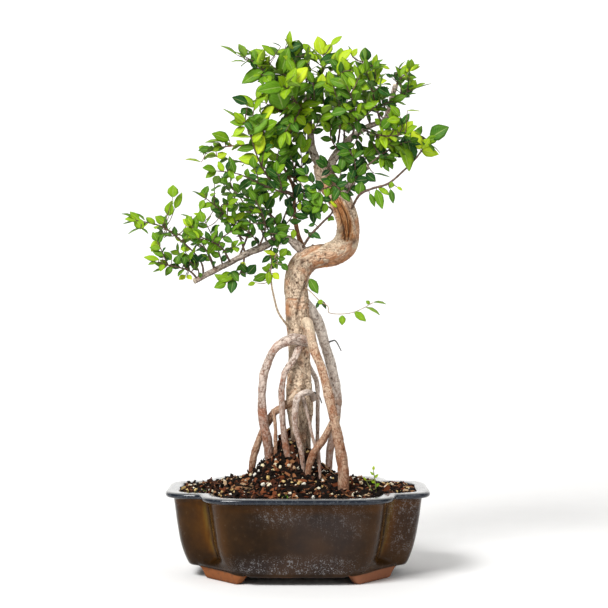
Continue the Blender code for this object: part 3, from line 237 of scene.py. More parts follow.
# shoot: leaves set one by one, as x and z of the base, x and z of the tip, half width, age
SET_LEAVES = {
    "lower_left_shoot_1": (
        (-128.7, 215, -139, 220.4, 0.1, 0.5), (-128, 213.5, -138, 211, 0.1, 0.4),
        (-121.7, 208, -129.2, 215, 0.4, 0.65), (-124, 208, -134.5, 203.5, 0.1, 0.5),
        (-124, 208, -117.5, 203.5, 0.12, 0.5), (-120.9, 214, -128, 220, 0.15, 0.5),
        (-112.8, 210.6, -119.1, 217, 0.27, 0.65), (-105.2, 212, -113, 217.5, 0.42, 0.6),
        (-102, 217.7, -100.5, 229, 0.34, 0.6), (-98.5, 232, -98.3, 242, 0.45, 0.6),
        (-97.3, 223.7, -91.4, 236, 0.2, 0.6), (-84.4, 217.7, -88.4, 210, 0.25, 0.5),
        (-85, 216, -93, 220, 0.1, 0.4), (-87.8, 204.4, -79.5, 210, 0.38, 0.55),
        (-109.5, 198.5, -116, 189.5, 0.33, 0.75), (-108, 203, -115, 201, 0.3, 0.5)),
    "lower_left_shoot_2": (
        (-109.6, 183.2, -121.4, 185, 0.2, 0.7), (-103.2, 178.4, -113, 180, 0.25, 0.5),
        (-105.1, 176.6, -114.6, 173.2, 0.17, 0.55), (-97, 180, -94.4, 187, 0.4, 0.4),
        (-106, 186, -114.5, 190, 0.3, 0.5),
        (-100, 183, -106, 189.5, 0.35, 0.5), (-100, 178, -105, 170.5, 0.3, 0.45),
        (-84, 176, -80, 184, 0.35, 0.4), (-86, 182, -92, 188, 0.35, 0.4),
        (-91.4, 179.6, -89.6, 186, 0.42, 0.35), (-80.3, 181, -85.4, 188, 0.4, 0.12),
        (-79.6, 182, -73, 188, 0.4, 0.1), (-89.8, 170.9, -95, 167.4, 0.4, 0.95),
        (-89, 170.9, -84.6, 167.6, 0.4, 0.9)),
    "lower_left_shoot_4": (
        (-74.8, 212.3, -77.2, 221.5, 0.42, 0.55), (-71.9, 208.6, -81, 212, 0.1, 0.4),
        (-75, 233, -83, 237, 0.15, 0.3), (-74, 230, -77, 222, 0.3, 0.6),
        (-73, 235, -70.5, 241, 0.4, 0.4)),
    "lower_left_shoot_7": (
        (-50.8, 172, -63, 166, 0.33, 0.6), (-46, 181, -41.6, 177.6, 0.4, 0.9),
        (-52, 173, -47, 166, 0.35, 0.4), (-40, 172, -33.3, 179.4, 0.4, 0.15),
        (-40, 173, -46, 180, 0.3, 0.3)),
    "left_sucker": (
        (-20.2, 172.7, -15, 167.8, 0.42, 0.9), (-14.2, 186.2, -8.4, 192.4, 0.42, 0.6),
        (-17.5, 187.8, -27.3, 190.6, 0.2, 0.9), (-16, 184, -10, 184.4, 0.38, 0.4),
        (-17, 184, -22, 181, 0.3, 0.2), (-16, 182, -12, 178.5, 0.35, 0.35),
        (-22.6, 174.6, -29, 177, 0.38, 0.6), (-22, 172, -27, 171, 0.3, 0.3),
        (-16, 189, -20, 193, 0.35, 0.3), (-21, 176, -17, 180, 0.2, 0.1),
        (-13, 196, -7, 201, 0.35, 0.3), (-16, 196, -12, 204, 0.33, 0.2),
        (-11, 190, -5, 187, 0.38, 0.5), (-18, 195, -24, 199, 0.32, 0.3),
        (-13, 180, -8, 175, 0.38, 0.35),
        (-28, 167, -35, 170.5, 0.35, 0.35), (-34, 165, -40, 163, 0.3, 0.7)),
    "left_shoot_1": (
        (-3.1, 208, -3.9, 200.2, 0.3, 0.7), (-12, 206, -7, 212, 0.3, 0.2)),
    "left_shoot_2": (
        (-43.3, 291.4, -59.2, 302.2, 0.12, 0.6), (-41.8, 288.2, -51.8, 280.6, 0.27, 0.75),
        (-39.4, 282.5, -22, 299, 0.3, 0.5), (-39.7, 306, -51.8, 310.8, 0.33, 0.1),
        (-41, 303, -44.5, 297.4, 0.4, 0.3), (-42, 292, -36, 285, 0.3, 0.3),
        (-43, 294, -46, 299, 0.3, 0.4)),
    "left_shoot_3": (
        (-15.3, 278, -14.5, 296.2, 0.32, 0.5), (-17.1, 277.4, -26.8, 275.6, 0.36, 0.92),
        (-15, 280, -25, 287, 0.3, 0.5)),
    "left_shoot_7": (
        (-70, 275, -81.5, 274, 0.3, 0.35), (-64, 279, -75, 281, 0.18, 0.7),
        (-60, 281, -76, 280.5, 0.13, 0.65), (-56, 282, -70, 287, 0.3, 0.55),
        (-60, 276, -73, 274, 0.2, 0.7), (-79, 264, -92, 266.3, 0.17, 0.8),
        (-66, 268, -58, 271, 0.38, 0.85)),
    "left_shoot_8": (
        (-48.9, 347.5, -62, 355.8, 0.15, 0.6), (-41.7, 343.1, -50, 351, 0.15, 0.6),
        (-41.2, 341.9, -53.4, 342.8, 0.14, 0.6), (-32, 341.5, -41.4, 353.4, 0.16, 0.5),
        (-18.1, 346.6, -29, 355.5, 0.22, 0.6), (-13.6, 354.4, -20.6, 357.4, 0.16, 0.1),
        (-27.4, 336.4, -45, 325.3, 0.26, 0.5), (-33, 337, -38, 344, 0.4, 0.2),
        (-28, 343, -36, 341, 0.35, 0.5)),
    "apex_shoot_1": (
        (-9.3, 352.8, 2.9, 357, 0.36, 0.15), (-14, 333, -7.5, 355, 0.26, 0.5),
        (9.8, 351.6, 4.3, 357.5, 0.35, 0.65), (-6, 352, -3, 345, 0.3, 0.2)),
    "apex_shoot_2": (
        (-11.3, 301.2, -18.6, 323.4, 0.38, 0.45), (-4.6, 320.6, 8, 334.3, 0.3, 0.97),
        (3.3, 295.4, 15.6, 305.2, 0.32, 0.5), (5.3, 295.4, 9.7, 284, 0.34, 0.93),
        (-2, 307, -11, 303, 0.3, 0.85)),
    "apex_shoot_3": (
        (19.7, 352, 16.2, 367.8, 0.36, 0.85), (26.7, 359.6, 36.2, 367.8, 0.2, 0.75),
        (17.6, 345.9, 37.6, 350, 0.27, 0.2), (22, 353, 28, 361, 0.38, 0.8),
        (20, 348, 12, 353, 0.3, 0.6)),
    "right_shoot_1": (
        (19.2, 320.2, 19.8, 333.2, 0.33, 0.85), (38.3, 328.6, 35.8, 345.6, 0.38, 0.75),
        (34, 333, 27, 340, 0.3, 0.3), (38, 333, 47, 338, 0.35, 0.7),
        (30, 300, 25, 289, 0.32, 0.5), (24, 262, 17, 264, 0.35, 0.05)),
    "right_shoot_3": (
        (56.3, 348.3, 55.8, 359.6, 0.4, 0.25), (44.5, 351.8, 48.8, 358.6, 0.33, 0.8),
        (44, 353, 42, 361, 0.12, 0.5), (61.8, 344.4, 64.9, 353.2, 0.25, 0.7),
        (68.8, 344.4, 75.8, 341.7, 0.2, 0.8), (53, 346, 62, 343, 0.35, 0.3)),
    "right_shoot_4": ((55.7, 331.2, 68.2, 334.6, 0.15, 0.5), (60, 322, 70, 324, 0.3, 0.85)),
    "right_shoot_5": (
        (88.6, 335.6, 98.4, 339.4, 0.2, 0.9), (85.4, 333.1, 87.2, 340.8, 0.42, 0.85),
        (86.8, 331.8, 95.8, 330.6, 0.27, 0.5), (83, 329.1, 77.6, 335.2, 0.42, 0.12),
        (76, 331, 71, 334, 0.3, 0.15)),
    "right_shoot_6": (
        (92.6, 320, 107, 324.2, 0.16, 0.3), (87, 317.6, 92.6, 319.4, 0.3, 0.25),
        (83, 318.7, 90.6, 323, 0.42, 0.3), (83, 318.7, 89.8, 314, 0.4, 0.25)),
    "right_shoot_9": (
        (85.3, 298.6, 95.6, 298.4, 0.14, 0.75), (84, 284, 90, 291, 0.35, 0.8),
        (78, 284, 73, 292, 0.3, 0.5)),
    "long_right_shoot": (
        (105.7, 280.8, 119.9, 289.2, 0.38, 0.35), (98.9, 270.5, 112, 267.4, 0.3, 0.8),
        (98.9, 271.2, 105, 280, 0.4, 0.75), (97.7, 271.4, 91.4, 286.2, 0.3, 0.93),
        (91.6, 261.8, 87.2, 279.8, 0.3, 0.15), (82.4, 274.4, 88.9, 253.3, 0.17, 0.6),
        (92.9, 286.4, 98.7, 283.4, 0.33, 0.45), (62.5, 239.4, 67.4, 223.6, 0.22, 0.5),
        (49.1, 235.1, 51, 246.4, 0.42, 0.4), (74.2, 240.4, 74.8, 245.6, 0.4, 0.6),
        (73.7, 239.4, 76, 228, 0.22, 0.35), (57.3, 236.3, 61.6, 225.6, 0.2, 0.45),
        (64.2, 240.8, 73.5, 234.9, 0.22, 0.65), (78.9, 241.3, 83.4, 238.3, 0.25, 0.8)),
    "low_right_shoot_1": (
        (54.6, 252.9, 62.5, 246.3, 0.36, 0.15), (61, 252.9, 74.2, 249.8, 0.1, 0.3),
        (67.1, 263.3, 73, 253.5, 0.2, 0.4), (78, 268, 83.4, 265.6, 0.36, 0.1)),
    "fork_shoot": (
        (34.3, 227.4, 25.7, 232.4, 0.34, 0.98), (26.3, 229.8, 18, 230.8, 0.32, 0.2),
        (19.2, 226.6, 10.2, 228.4, 0.36, 0.5), (17.6, 225, 11.1, 219.3, 0.34, 0.5),
        (22, 227, 20.5, 219, 0.34, 0.55), (15, 236, 7, 239, 0.36, 0.55),
        (20, 238, 14, 245, 0.36, 0.1), (26, 243, 18, 247, 0.3, 0.15)),
    "bend_shoot": (
        (13.7, 212, 8.3, 210.4, 0.3, 0.2), (8.9, 204.8, 4.7, 208.2, 0.3, 0.12),
        (8.1, 205.6, 12.7, 200.6, 0.3, 0.2), (10.5, 205.6, 18.4, 200.2, 0.25, 0.2),
        (26.5, 216.8, 23.9, 214.2, 0.4, 0.5), (25, 218, 29, 215, 0.4, 0.5)),
    "right_sucker": (
        (9.5, 168.5, 16.2, 156.2, 0.27, 0.42), (18.5, 151, 23, 144, 0.2, 0.05),
        (57.8, 148, 54.6, 150.6, 0.4, 0.6), (60.5, 149.4, 71, 148.3, 0.16, 0.55),
        (54.3, 145.7, 66.2, 140.2, 0.16, 0.6), (45.4, 141.8, 54.6, 134.2, 0.25, 0.6),
        (35.6, 139, 35.4, 131, 0.36, 0.6), (20.5, 149, 15.5, 150, 0.42, 0.6),
        (17, 150, 14.6, 144.5, 0.25, 0.1)),
}


# shoot: listed twigs that fill the middle of the crown: leaf length, age and route
TWIGS = {
    "left_shoot_3": (
        (12, 0.45, ((-13, 4, 262), (-8, 0, 272), (-3, -3, 284), (1, -5, 296))),
        (14, 0.6, ((-12, -2, 275), (-6, -10, 286), (-1, -16, 298), (3, -18, 308))),
        (10, 0.15, ((-12, 5, 258), (-6, 2, 252), (1, -3, 247), (6, -6, 240)))),
    "left_shoot_4": (
        (10, 0.2, ((-3, 8, 250), (3, 12, 260), (7, 16, 272), (6, 18, 286))),
        (10, 0.15, ((-3, 8, 246), (2, 6, 240), (8, 4, 236), (12, 2, 228))),
        (12, 0.25, ((-2, 14, 290), (4, 16, 300), (8, 17, 312), (10, 18, 322)))),
    "left_shoot_2": (
        (13, 0.55, ((-29, -20, 258), (-27, -24, 270), (-27, -26, 284), (-29, -27, 298))),
        (13, 0.5, ((-37, -27, 280), (-36, -28, 291), (-35, -28, 301), (-33, -28, 311))),
        (12, 0.35, ((-14, -6, 241), (-15, -12, 251), (-17, -15, 262), (-15, -18, 272))),
        (10, 0.3, ((-4, 6, 244), (-3, 0, 253), (-4, -5, 262), (-8, -8, 272))),
        (10, 0.3, ((-8, 6, 252), (-12, -2, 260), (-14, -6, 268), (-12, -10, 278))),
        (11, 0.4, ((-4, 6, 246), (1, 0, 255), (3, -4, 264), (2, -6, 273)))),
    "left_shoot_1": (
        (9, 0.3, ((-12, -8, 203), (-17, -13, 200), (-20, -16, 204), (-17, -18, 212))),
        (9, 0.2, ((-3, 7, 226), (2, 2, 230), (8, -2, 228), (14, -4, 223))),
        (9, 0.35, ((-14, -7, 206), (-8, -11, 214), (-3, -13, 220), (3, -13, 224))),
        (9, 0.2, ((-10, -4, 221), (-4, -8, 226), (1, -10, 231), (7, -12, 233))),
        (9, 0.25, ((-13, -7, 212), (-20, -12, 218), (-26, -15, 226), (-30, -17, 236)))),
    "apex_shoot_2": (
        (13, 0.5, ((2, -20, 304), (-1, -24, 297), (-6, -27, 291), (-10, -28, 284))),
        (12, 0.4, ((9, -6, 297), (12, -14, 306), (13, -20, 315), (12, -24, 324))),
        (12, 0.5, ((10, -1, 285), (14, -8, 290), (17, -14, 295), (20, -18, 300)))),
    "apex_shoot_1": (
        (13, 0.55, ((2, 0, 328), (-9, -5, 332), (-19, -8, 338), (-27, -10, 347))),
        (12, 0.3, ((4, 3, 319), (-4, 2, 322), (-14, 0, 326), (-24, -2, 330)))),
    "apex_shoot_3": (
        (13, 0.6, ((15, 8, 326), (23, 8, 334), (29, 8, 340), (34, 8, 345))),
        (12, 0.35, ((12, 6, 318), (20, 10, 322), (28, 12, 328), (34, 14, 336)))),
    "right_shoot_8": (
        (10, 0.15, ((36, 5, 276), (37, -4, 270), (40, -9, 263), (45, -12, 256))),
        (10, 0.2, ((38, 6, 278), (42, -2, 272), (48, -6, 268), (55, -8, 266))),
        (10, 0.3, ((34, 5, 272), (29, -4, 277), (26, -10, 284), (27, -13, 292)))),
    "right_shoot_9": (
        (10, 0.3, ((50, 6, 288), (48, -6, 282), (45, -11, 275), (42, -13, 268))),
        (11, 0.45, ((56, 4, 291), (62, -8, 287), (70, -14, 282), (77, -17, 276))),
        (10, 0.3, ((56, 0, 288), (60, -10, 278), (64, -14, 270), (70, -17, 264)))),
    "right_shoot_1": (
        (12, 0.4, ((33, 0, 292), (26, -4, 297), (22, -8, 304), (20, -10, 313))),
        (12, 0.45, ((33, -4, 310), (40, -9, 314), (47, -12, 320), (52, -14, 328)))),
    "right_shoot_2": (
        (11, 0.35, ((46, -10, 291), (52, -14, 297), (59, -17, 303), (64, -19, 311))),
        (12, 0.5, ((44, -20, 300), (36, -24, 305), (31, -27, 312), (28, -29, 320)))),
    "low_right_shoot_2": (
        (10, 0.1, ((44, -6, 248), (46, -12, 256), (45, -15, 264), (41, -16, 271))),
        (9, 0.15, ((38, 0, 238), (34, -6, 247), (28, -10, 254), (22, -12, 258))),
        (10, 0.3, ((37, 0, 238), (41, -8, 240), (44, -12, 245), (48, -14, 251)))),
    "lower_left_shoot_1": (
        (9, 0.4, ((-80, -9, 168), (-80, -14, 176), (-86, -17, 182), (-90, -18, 190))),),
    "right_shoot_7": (
        (10, 0.4, ((74, 3, 306), (80, 8, 312), (85, 12, 316), (88, 14, 323))),
        (10, 0.35, ((70, 3, 298), (64, 4, 304), (58, 5, 309), (53, 5, 316))),
        (10, 0.45, ((59, 4, 293), (56, 0, 300), (54, -4, 306), (55, -7, 313)))),
    "lower_left_shoot_8": (
        (9, 0.5, ((-67, -10, 175), (-72, -18, 188), (-78, -24, 200), (-84, -28, 210))),
        (9, 0.45, ((-60, -11, 178), (-64, -18, 192), (-70, -22, 206), (-76, -24, 218)))),
    "lower_left_shoot_6": (
        (9, 0.35, ((-20, -10, 198), (-24, -16, 208), (-30, -20, 216), (-38, -22, 222))),
        (9, 0.4, ((-30, -10, 193), (-36, -18, 202), (-44, -22, 208), (-52, -24, 212))),
        (9, 0.3, ((-10, -8, 200), (-16, -14, 210), (-24, -18, 222), (-30, -20, 232)))),
    "lower_left_shoot_7": (
        (10, 0.35, ((-20, -9, 197), (-22, -14, 188), (-21, -17, 180), (-25, -19, 172))),),
    "lower_left_shoot_5": (
        (9, 0.3, ((-44, 0, 200), (-52, 2, 208), (-60, 3, 214), (-66, 3, 222))),),
}

# ---------------------------------------------------------------- numbers


def lattice_value(cell, seed):
    """A number from 0 to 1 for each whole-number point, from multiplying its coordinates by
    large primes, adding them up and folding the bits twice."""
    mixed = cell[..., 0] * 374761393 + cell[..., 1] * 668265263 + cell[..., 2] * 1103515245
    mixed = (mixed + seed * 974634777) & 0xFFFFFFFF
    mixed = ((mixed ^ (mixed >> 13)) * 1274126177) & 0xFFFFFFFF
    return (mixed ^ (mixed >> 16)) / 2**32


def rough(place, size, seed):
    """Smooth random relief from -1 to 1 with humps about size apart: the eight lattice values
    round a point, blended along each axis by 3t^2 - 2t^3."""
    scaled = place / size
    cell = np.floor(scaled).astype(np.int64)
    t = scaled - cell
    t = t * t * (3 - 2 * t)
    total = 0
    for corner in np.ndindex(2, 2, 2):
        share = np.where(corner, t, 1 - t).prod(axis=-1)
        total = total + share * lattice_value(cell + np.array(corner), seed)
    return 2 * total - 1


def rugged(place, size, seed, octaves=3):
    """Rough relief with smaller relief on it: each octave has half the size and half the height."""
    size = np.array(size, float)
    return sum(rough(place, size / 2**k, seed + k) / 2**k for k in range(octaves))


def plates(place, size, seed):
    """One random point in each lattice cell: the distance to the nearest, the gap between the
    two nearest distances, which is 0 on the cracks between plates, and the nearest's value."""
    scaled = place / np.array(size, float)
    cell = np.floor(scaled).astype(np.int64)
    first = np.full(place.shape[:-1], 9.0)
    second, value = first.copy(), first.copy()
    for offset in np.ndindex(3, 3, 3):
        other = cell + np.array(offset) - 1
        point = np.stack([lattice_value(other, seed + k) for k in range(3)], axis=-1) + other
        away = np.linalg.norm(scaled - point, axis=-1)
        nearer = away < first
        second = np.where(nearer, first, np.minimum(second, away))
        value = np.where(nearer, lattice_value(other, seed + 3), value)
        first = np.where(nearer, away, first)
    return first, second - first, value


def ramp(value, low, high):
    """0 below low, 1 above high, and 3t^2 - 2t^3 between."""
    t = np.clip((value - low) / (high - low), 0, 1)
    return t * t * (3 - 2 * t)


def unit(vectors):
    """Each vector divided by its length."""
    return vectors / np.maximum(np.linalg.norm(vectors, axis=-1, keepdims=True), 1e-12)


def ring_of(radius, angles, height):
    """Points at a radius and height at each angle round the pot's middle."""
    return np.stack([MIDDLE_X + radius * np.cos(angles), radius * np.sin(angles),
                     np.broadcast_to(height, np.shape(radius))], axis=-1)


def round_angles(count):
    """Equal steps of one full turn."""
    return np.linspace(0, 2 * math.pi, count, endpoint=False)


def in_place(route):
    """A route's rows in metres in the frame's axes."""
    rows = np.array(route, float) * MM
    rows[:, 0] += MIDDLE_X
    rows[:, 2] += RIM
    return rows


def on_route(place):
    """x, y and z in millimetres about the middle of the rim, as routes have them."""
    return (place - np.array([MIDDLE_X, 0, RIM])) / MM


def walked(rows):
    """The length walked along a route at each of its rows."""
    steps = np.linalg.norm(np.diff(rows[:, :3], axis=0), axis=1)
    return np.concatenate([[0], np.cumsum(steps)])


def smooth(rows, count):
    """Rows at equal steps along the Catmull-Rom curve through the given ones."""
    rows = np.array(rows, float)
    ends = np.concatenate([[2 * rows[0] - rows[1]], rows, [2 * rows[-1] - rows[-2]]])
    t = np.linspace(0, 1, 16, endpoint=False)[None, :, None]
    p0, p1, p2, p3 = (ends[k : len(ends) - 3 + k, None] for k in range(4))
    fine = 0.5 * (
        2 * p1 + (p2 - p0) * t + (2 * p0 - 5 * p1 + 4 * p2 - p3) * t**2
        + (3 * p1 - p0 - 3 * p2 + p3) * t**3
    )
    fine = np.concatenate([fine.reshape(-1, rows.shape[1]), rows[-1:]])
    length = walked(fine)
    wanted = np.linspace(0, length[-1], count)
    return np.stack([np.interp(wanted, length, column) for column in fine.T], axis=1)


def carried(rows, around, hint=(0.2, -1, 0.1)):
    """A round skin carried along rows of x, y, z and radius, without twist: the centres, the
    outward directions, and the place on the straightened limb, as radius times cosine, radius
    times sine and length walked."""
    tangents = unit(np.gradient(rows[:, :3], axis=0))
    side = np.array(hint, float)
    sides = []
    for tangent in tangents:
        side = side - tangent * (side @ tangent)
        side = side / np.linalg.norm(side)
        sides.append(side)
    sides = np.array(sides)
    turns = round_angles(around)
    cosine, sine = np.cos(turns)[None, :, None], np.sin(turns)[None, :, None]
    outward = sides[:, None] * cosine + np.cross(tangents, sides)[:, None] * sine
    radius = rows[:, None, 3:4]
    along = np.broadcast_to(walked(rows)[:, None, None], (len(rows), around, 1))
    straight = np.concatenate([radius * cosine, radius * sine, along], axis=2)
    return rows[:, None, :3], outward, straight


def wrapped_faces(rows, around, first=0):
    """The quads of a grid whose columns run round, facing outwards when its rows run upwards."""
    low = first + np.arange(rows - 1)[:, None] * around + np.arange(around)
    nxt = first + np.arange(rows - 1)[:, None] * around + np.roll(np.arange(around), -1)
    return np.stack([low, nxt, nxt + around, low + around], axis=2).reshape(-1, 4)


def closed_tube(points):
    """A grid's points with a middle point added at each end, and the faces that close it."""
    rows, around = points.shape[:2]
    flat = points.reshape(-1, 3)
    ends = np.stack([points[0].mean(axis=0), points[-1].mean(axis=0)])
    here = np.arange(around)
    there = np.roll(here, -1)
    low = np.stack([np.full(around, len(flat)), there, here], axis=1)
    top = (rows - 1) * around
    high = np.stack([np.full(around, len(flat) + 1), top + here, top + there], axis=1)
    return np.concatenate([flat, ends]), [wrapped_faces(rows, around), low, high]


def with_ends(values):
    """A grid of values with the ends' means added, to match closed_tube."""
    flat = values.reshape(-1, *values.shape[2:])
    return np.concatenate([flat, [values[0].mean(axis=0), values[-1].mean(axis=0)]])


def make_piece(name, points, faces, finishes, marks=None, stands_for=(), which=None,
               sharp=None):
    """A mesh object at the origin. marks are values at the points, kept as attributes, and which
    gives each face its finish."""
    mesh = bpy.data.meshes.new(name)
    counts = np.concatenate([np.full(len(f), f.shape[1]) for f in faces])
    corners = np.concatenate([f.ravel() for f in faces]).astype(np.int32)
    mesh.vertices.add(len(points))
    mesh.vertices.foreach_set("co", np.asarray(points, np.float32).ravel())
    mesh.loops.add(len(corners))
    mesh.loops.foreach_set("vertex_index", corners)
    mesh.polygons.add(len(counts))
    starts = np.concatenate([[0], np.cumsum(counts)[:-1]]).astype(np.int32)
    mesh.polygons.foreach_set("loop_start", starts)
    mesh.polygons.foreach_set("loop_total", counts.astype(np.int32))
    for finish in finishes:
        mesh.materials.append(finish)
    if which is not None:
        mesh.polygons.foreach_set("material_index", np.asarray(which, np.int32))
    mesh.update(calc_edges=True)
    mesh.validate()
    mesh.shade_smooth()
    if sharp is not None:
        mesh.set_sharp_from_angle(angle=math.radians(sharp))
    for mark, values in (marks or {}).items():
        values = np.asarray(values, np.float32)
        kind = "FLOAT" if values.ndim == 1 else "FLOAT_VECTOR"
        stored = mesh.attributes.new(mark, kind, "POINT")
        stored.data.foreach_set("value" if values.ndim == 1 else "vector", values.ravel())
    piece = bpy.data.objects.new(name, mesh)
    bpy.context.scene.collection.objects.link(piece)
    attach(piece, "root")
    if stands_for:
        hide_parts(*stands_for)
    return piece


def front_stroke(place, outward, line, width):
    """How close points are to a line drawn on a limb's front, given as x and z in millimetres:
    1 on it, falling as exp(-(d / width)^2), and 0 on the back."""
    spot = on_route(place)[..., [0, 2]]
    line = np.array(line, float)
    nearest = np.full(spot.shape[:-1], 1e9)
    for start, stop in zip(line, line[1:] if len(line) > 1 else line):
        step = stop - start
        share = np.clip(((spot - start) @ step) / max(step @ step, 1e-9), 0, 1)
        away = np.linalg.norm(spot - start - share[..., None] * step, axis=-1)
        nearest = np.minimum(nearest, away)
    return np.exp(-((nearest / width) ** 2)) * np.clip(-3 * outward[..., 1], 0, 1)


# ---------------------------------------------------------------- finishes


class Wire:
    """One output of a shader node. Arithmetic on it adds the Math node that does it."""

    def __init__(self, finish, socket):
        self.finish, self.socket = finish, socket

    def maths(self, operation, *values):
        """The wire of a Math node that works on the values."""
        return self.finish.node("Math", {"operation": operation}, dict(enumerate(values)))

    def __add__(self, other):
        return self.maths("ADD", self, other)

    def __sub__(self, other):
        return self.maths("SUBTRACT", self, other)

    def __rsub__(self, other):
        return self.maths("SUBTRACT", other, self)

    def __mul__(self, other):
        return self.maths("MULTIPLY", self, other)

    __radd__, __rmul__ = __add__, __mul__

    def least(self, other):
        """The smaller of the two."""
        return self.maths("MINIMUM", self, other)

    def most(self, other):
        """The larger of the two."""
        return self.maths("MAXIMUM", self, other)

    def size(self):
        """The value without its sign."""
        return self.maths("ABSOLUTE", self)

    def fraction(self):
        """What is left above the whole number."""
        return self.maths("FRACT", self)

    def step(self, low, high):
        """0 below low, 1 above high, smooth between; high may be the lower one."""
        if low > high:
            return 1 - self.step(high, low)
        return self.finish.node(
            "MapRange", {"interpolation_type": "SMOOTHSTEP", "clamp": True},
            {"Value": self, "From Min": low, "From Max": high}, "Result",
        )


class Finish:
    """A material while it is wired: its Principled shader and the nodes that feed it."""

    def __init__(self, name, **constants):
        self.material = bpy.data.materials.new(name)
        self.material.use_nodes = True
        self.tree = self.material.node_tree
        self.shader = self.tree.nodes["Principled BSDF"]
        for socket, value in constants.items():
            self.shader.inputs[socket.replace("_", " ")].default_value = value
        self.place = self.node("TexCoord", output="Object")

    def node(self, kind, settings=None, values=None, output=0):
        """Any node: its type, its settings, the values or wires of its sockets, its output."""
        made = self.tree.nodes.new("ShaderNode" + kind)
        for setting, value in (settings or {}).items():
            if setting == "stops":
                for k, (position, colour) in enumerate(value):
                    stop = made.color_ramp.elements
                    stop = stop[k] if k < 2 else stop.new(position)
                    stop.position, stop.color = position, (*colour, 1)
            else:
                setattr(made, setting, value)
        for socket, value in (values or {}).items():
            if isinstance(value, Wire):
                self.tree.links.new(value.socket, made.inputs[socket])
            else:
                made.inputs[socket].default_value = value
        return Wire(self, made.outputs[output])

    def mark(self, name):
        """A number that a piece keeps at its points."""
        return self.node("Attribute", {"attribute_name": name}, output="Fac")

    def spot(self, name):
        """A vector that a piece keeps at its points."""
        return self.node("Attribute", {"attribute_name": name}, output="Vector")

    def axis(self, vector, name):
        """One coordinate of a vector."""
        return self.node("SeparateXYZ", values={0: vector}, output=name)

    def stretch(self, vector, scale):
        """A vector times a scale along each axis."""
        return self.node("Mapping", values={"Vector": vector, "Scale": scale})

    def noise(self, vector, scale, detail=3.0, roughness=0.55):
        """Cloudy values from 0 to 1."""
        return self.node(
            "TexNoise", values={"Vector": vector, "Scale": scale, "Detail": detail,
                                "Roughness": roughness}, output="Fac")

    def cells(self, vector, scale, feature="F1", output="Distance"):
        """Cells round scattered points."""
        return self.node("TexVoronoi", {"feature": feature}, {"Vector": vector, "Scale": scale},
                         output)

    def blend(self, share, low, high):
        """Colours low and high mixed: low where share is 0."""
        return self.node(
            "Mix", {"data_type": "RGBA", "clamp_factor": True},
            {0: share, 6: low if isinstance(low, Wire) else (*low, 1),
             7: high if isinstance(high, Wire) else (*high, 1)}, 2)

    def ramp(self, share, *stops):
        """The colour that a share picks between stops of position and colour."""
        return self.node("ValToRGB", {"stops": stops}, {0: share}, "Color")

    def layered(self, colour, *layers):
        """Colours laid over one another in turn, each as far as its share goes."""
        for share, over in layers:
            colour = self.blend(share, colour, over)
        return colour

    def feed(self, colour, roughness=None, height=None, depth=0.001, strength=1.0, coat=None):
        """Wires the shader, with the height times depth, in metres, as a bump."""
        for socket, wire in (("Base Color", colour), ("Roughness", roughness),
                             ("Coat Weight", coat)):
            if wire is not None:
                self.tree.links.new(wire.socket, self.shader.inputs[socket])
        if height is not None:
            bump = self.node("Bump", values={"Height": height, "Distance": depth,
                                             "Strength": strength}, output="Normal")
            self.tree.links.new(bump.socket, self.shader.inputs["Normal"])
        return self.material


def shade(colour, factor):
    """A colour times a factor, held below the palest that bark gets."""
    return tuple(min(0.85, factor * channel) for channel in colour)


def chosen():
    """The settings that the panel shows."""
    return bpy.context.scene.bonsai


def once(make):
    """Makes a finish the first time it is asked for."""
    def fetch(*words):
        """The finish named after its maker and the words that choose its kind."""
        name = "_".join((make.__name__, *words))
        return bpy.data.materials.get(name) or make(name, *words)
    return fetch


BARKS = {  # name: (light, dark, patches, how much of them)
    "trunk_bark": ((0.61, 0.475, 0.345), (0.20, 0.132, 0.084), (0.44, 0.20, 0.095), 0.55),
    "pale_root": ((0.68, 0.59, 0.52), (0.31, 0.24, 0.19), (0.42, 0.29, 0.21), 0.30),
    "pink_root": ((0.60, 0.50, 0.43), (0.20, 0.128, 0.094), (0.40, 0.155, 0.08), 0.62),
    "brown_root": ((0.61, 0.46, 0.33), (0.17, 0.085, 0.045), (0.36, 0.145, 0.065), 0.72),
    "branch_bark": ((0.46, 0.385, 0.32), (0.11, 0.075, 0.055), (0.30, 0.18, 0.12), 0.45),
    "red_bark": ((0.30, 0.155, 0.085), (0.10, 0.04, 0.02), (0.36, 0.14, 0.05), 0.6),
}


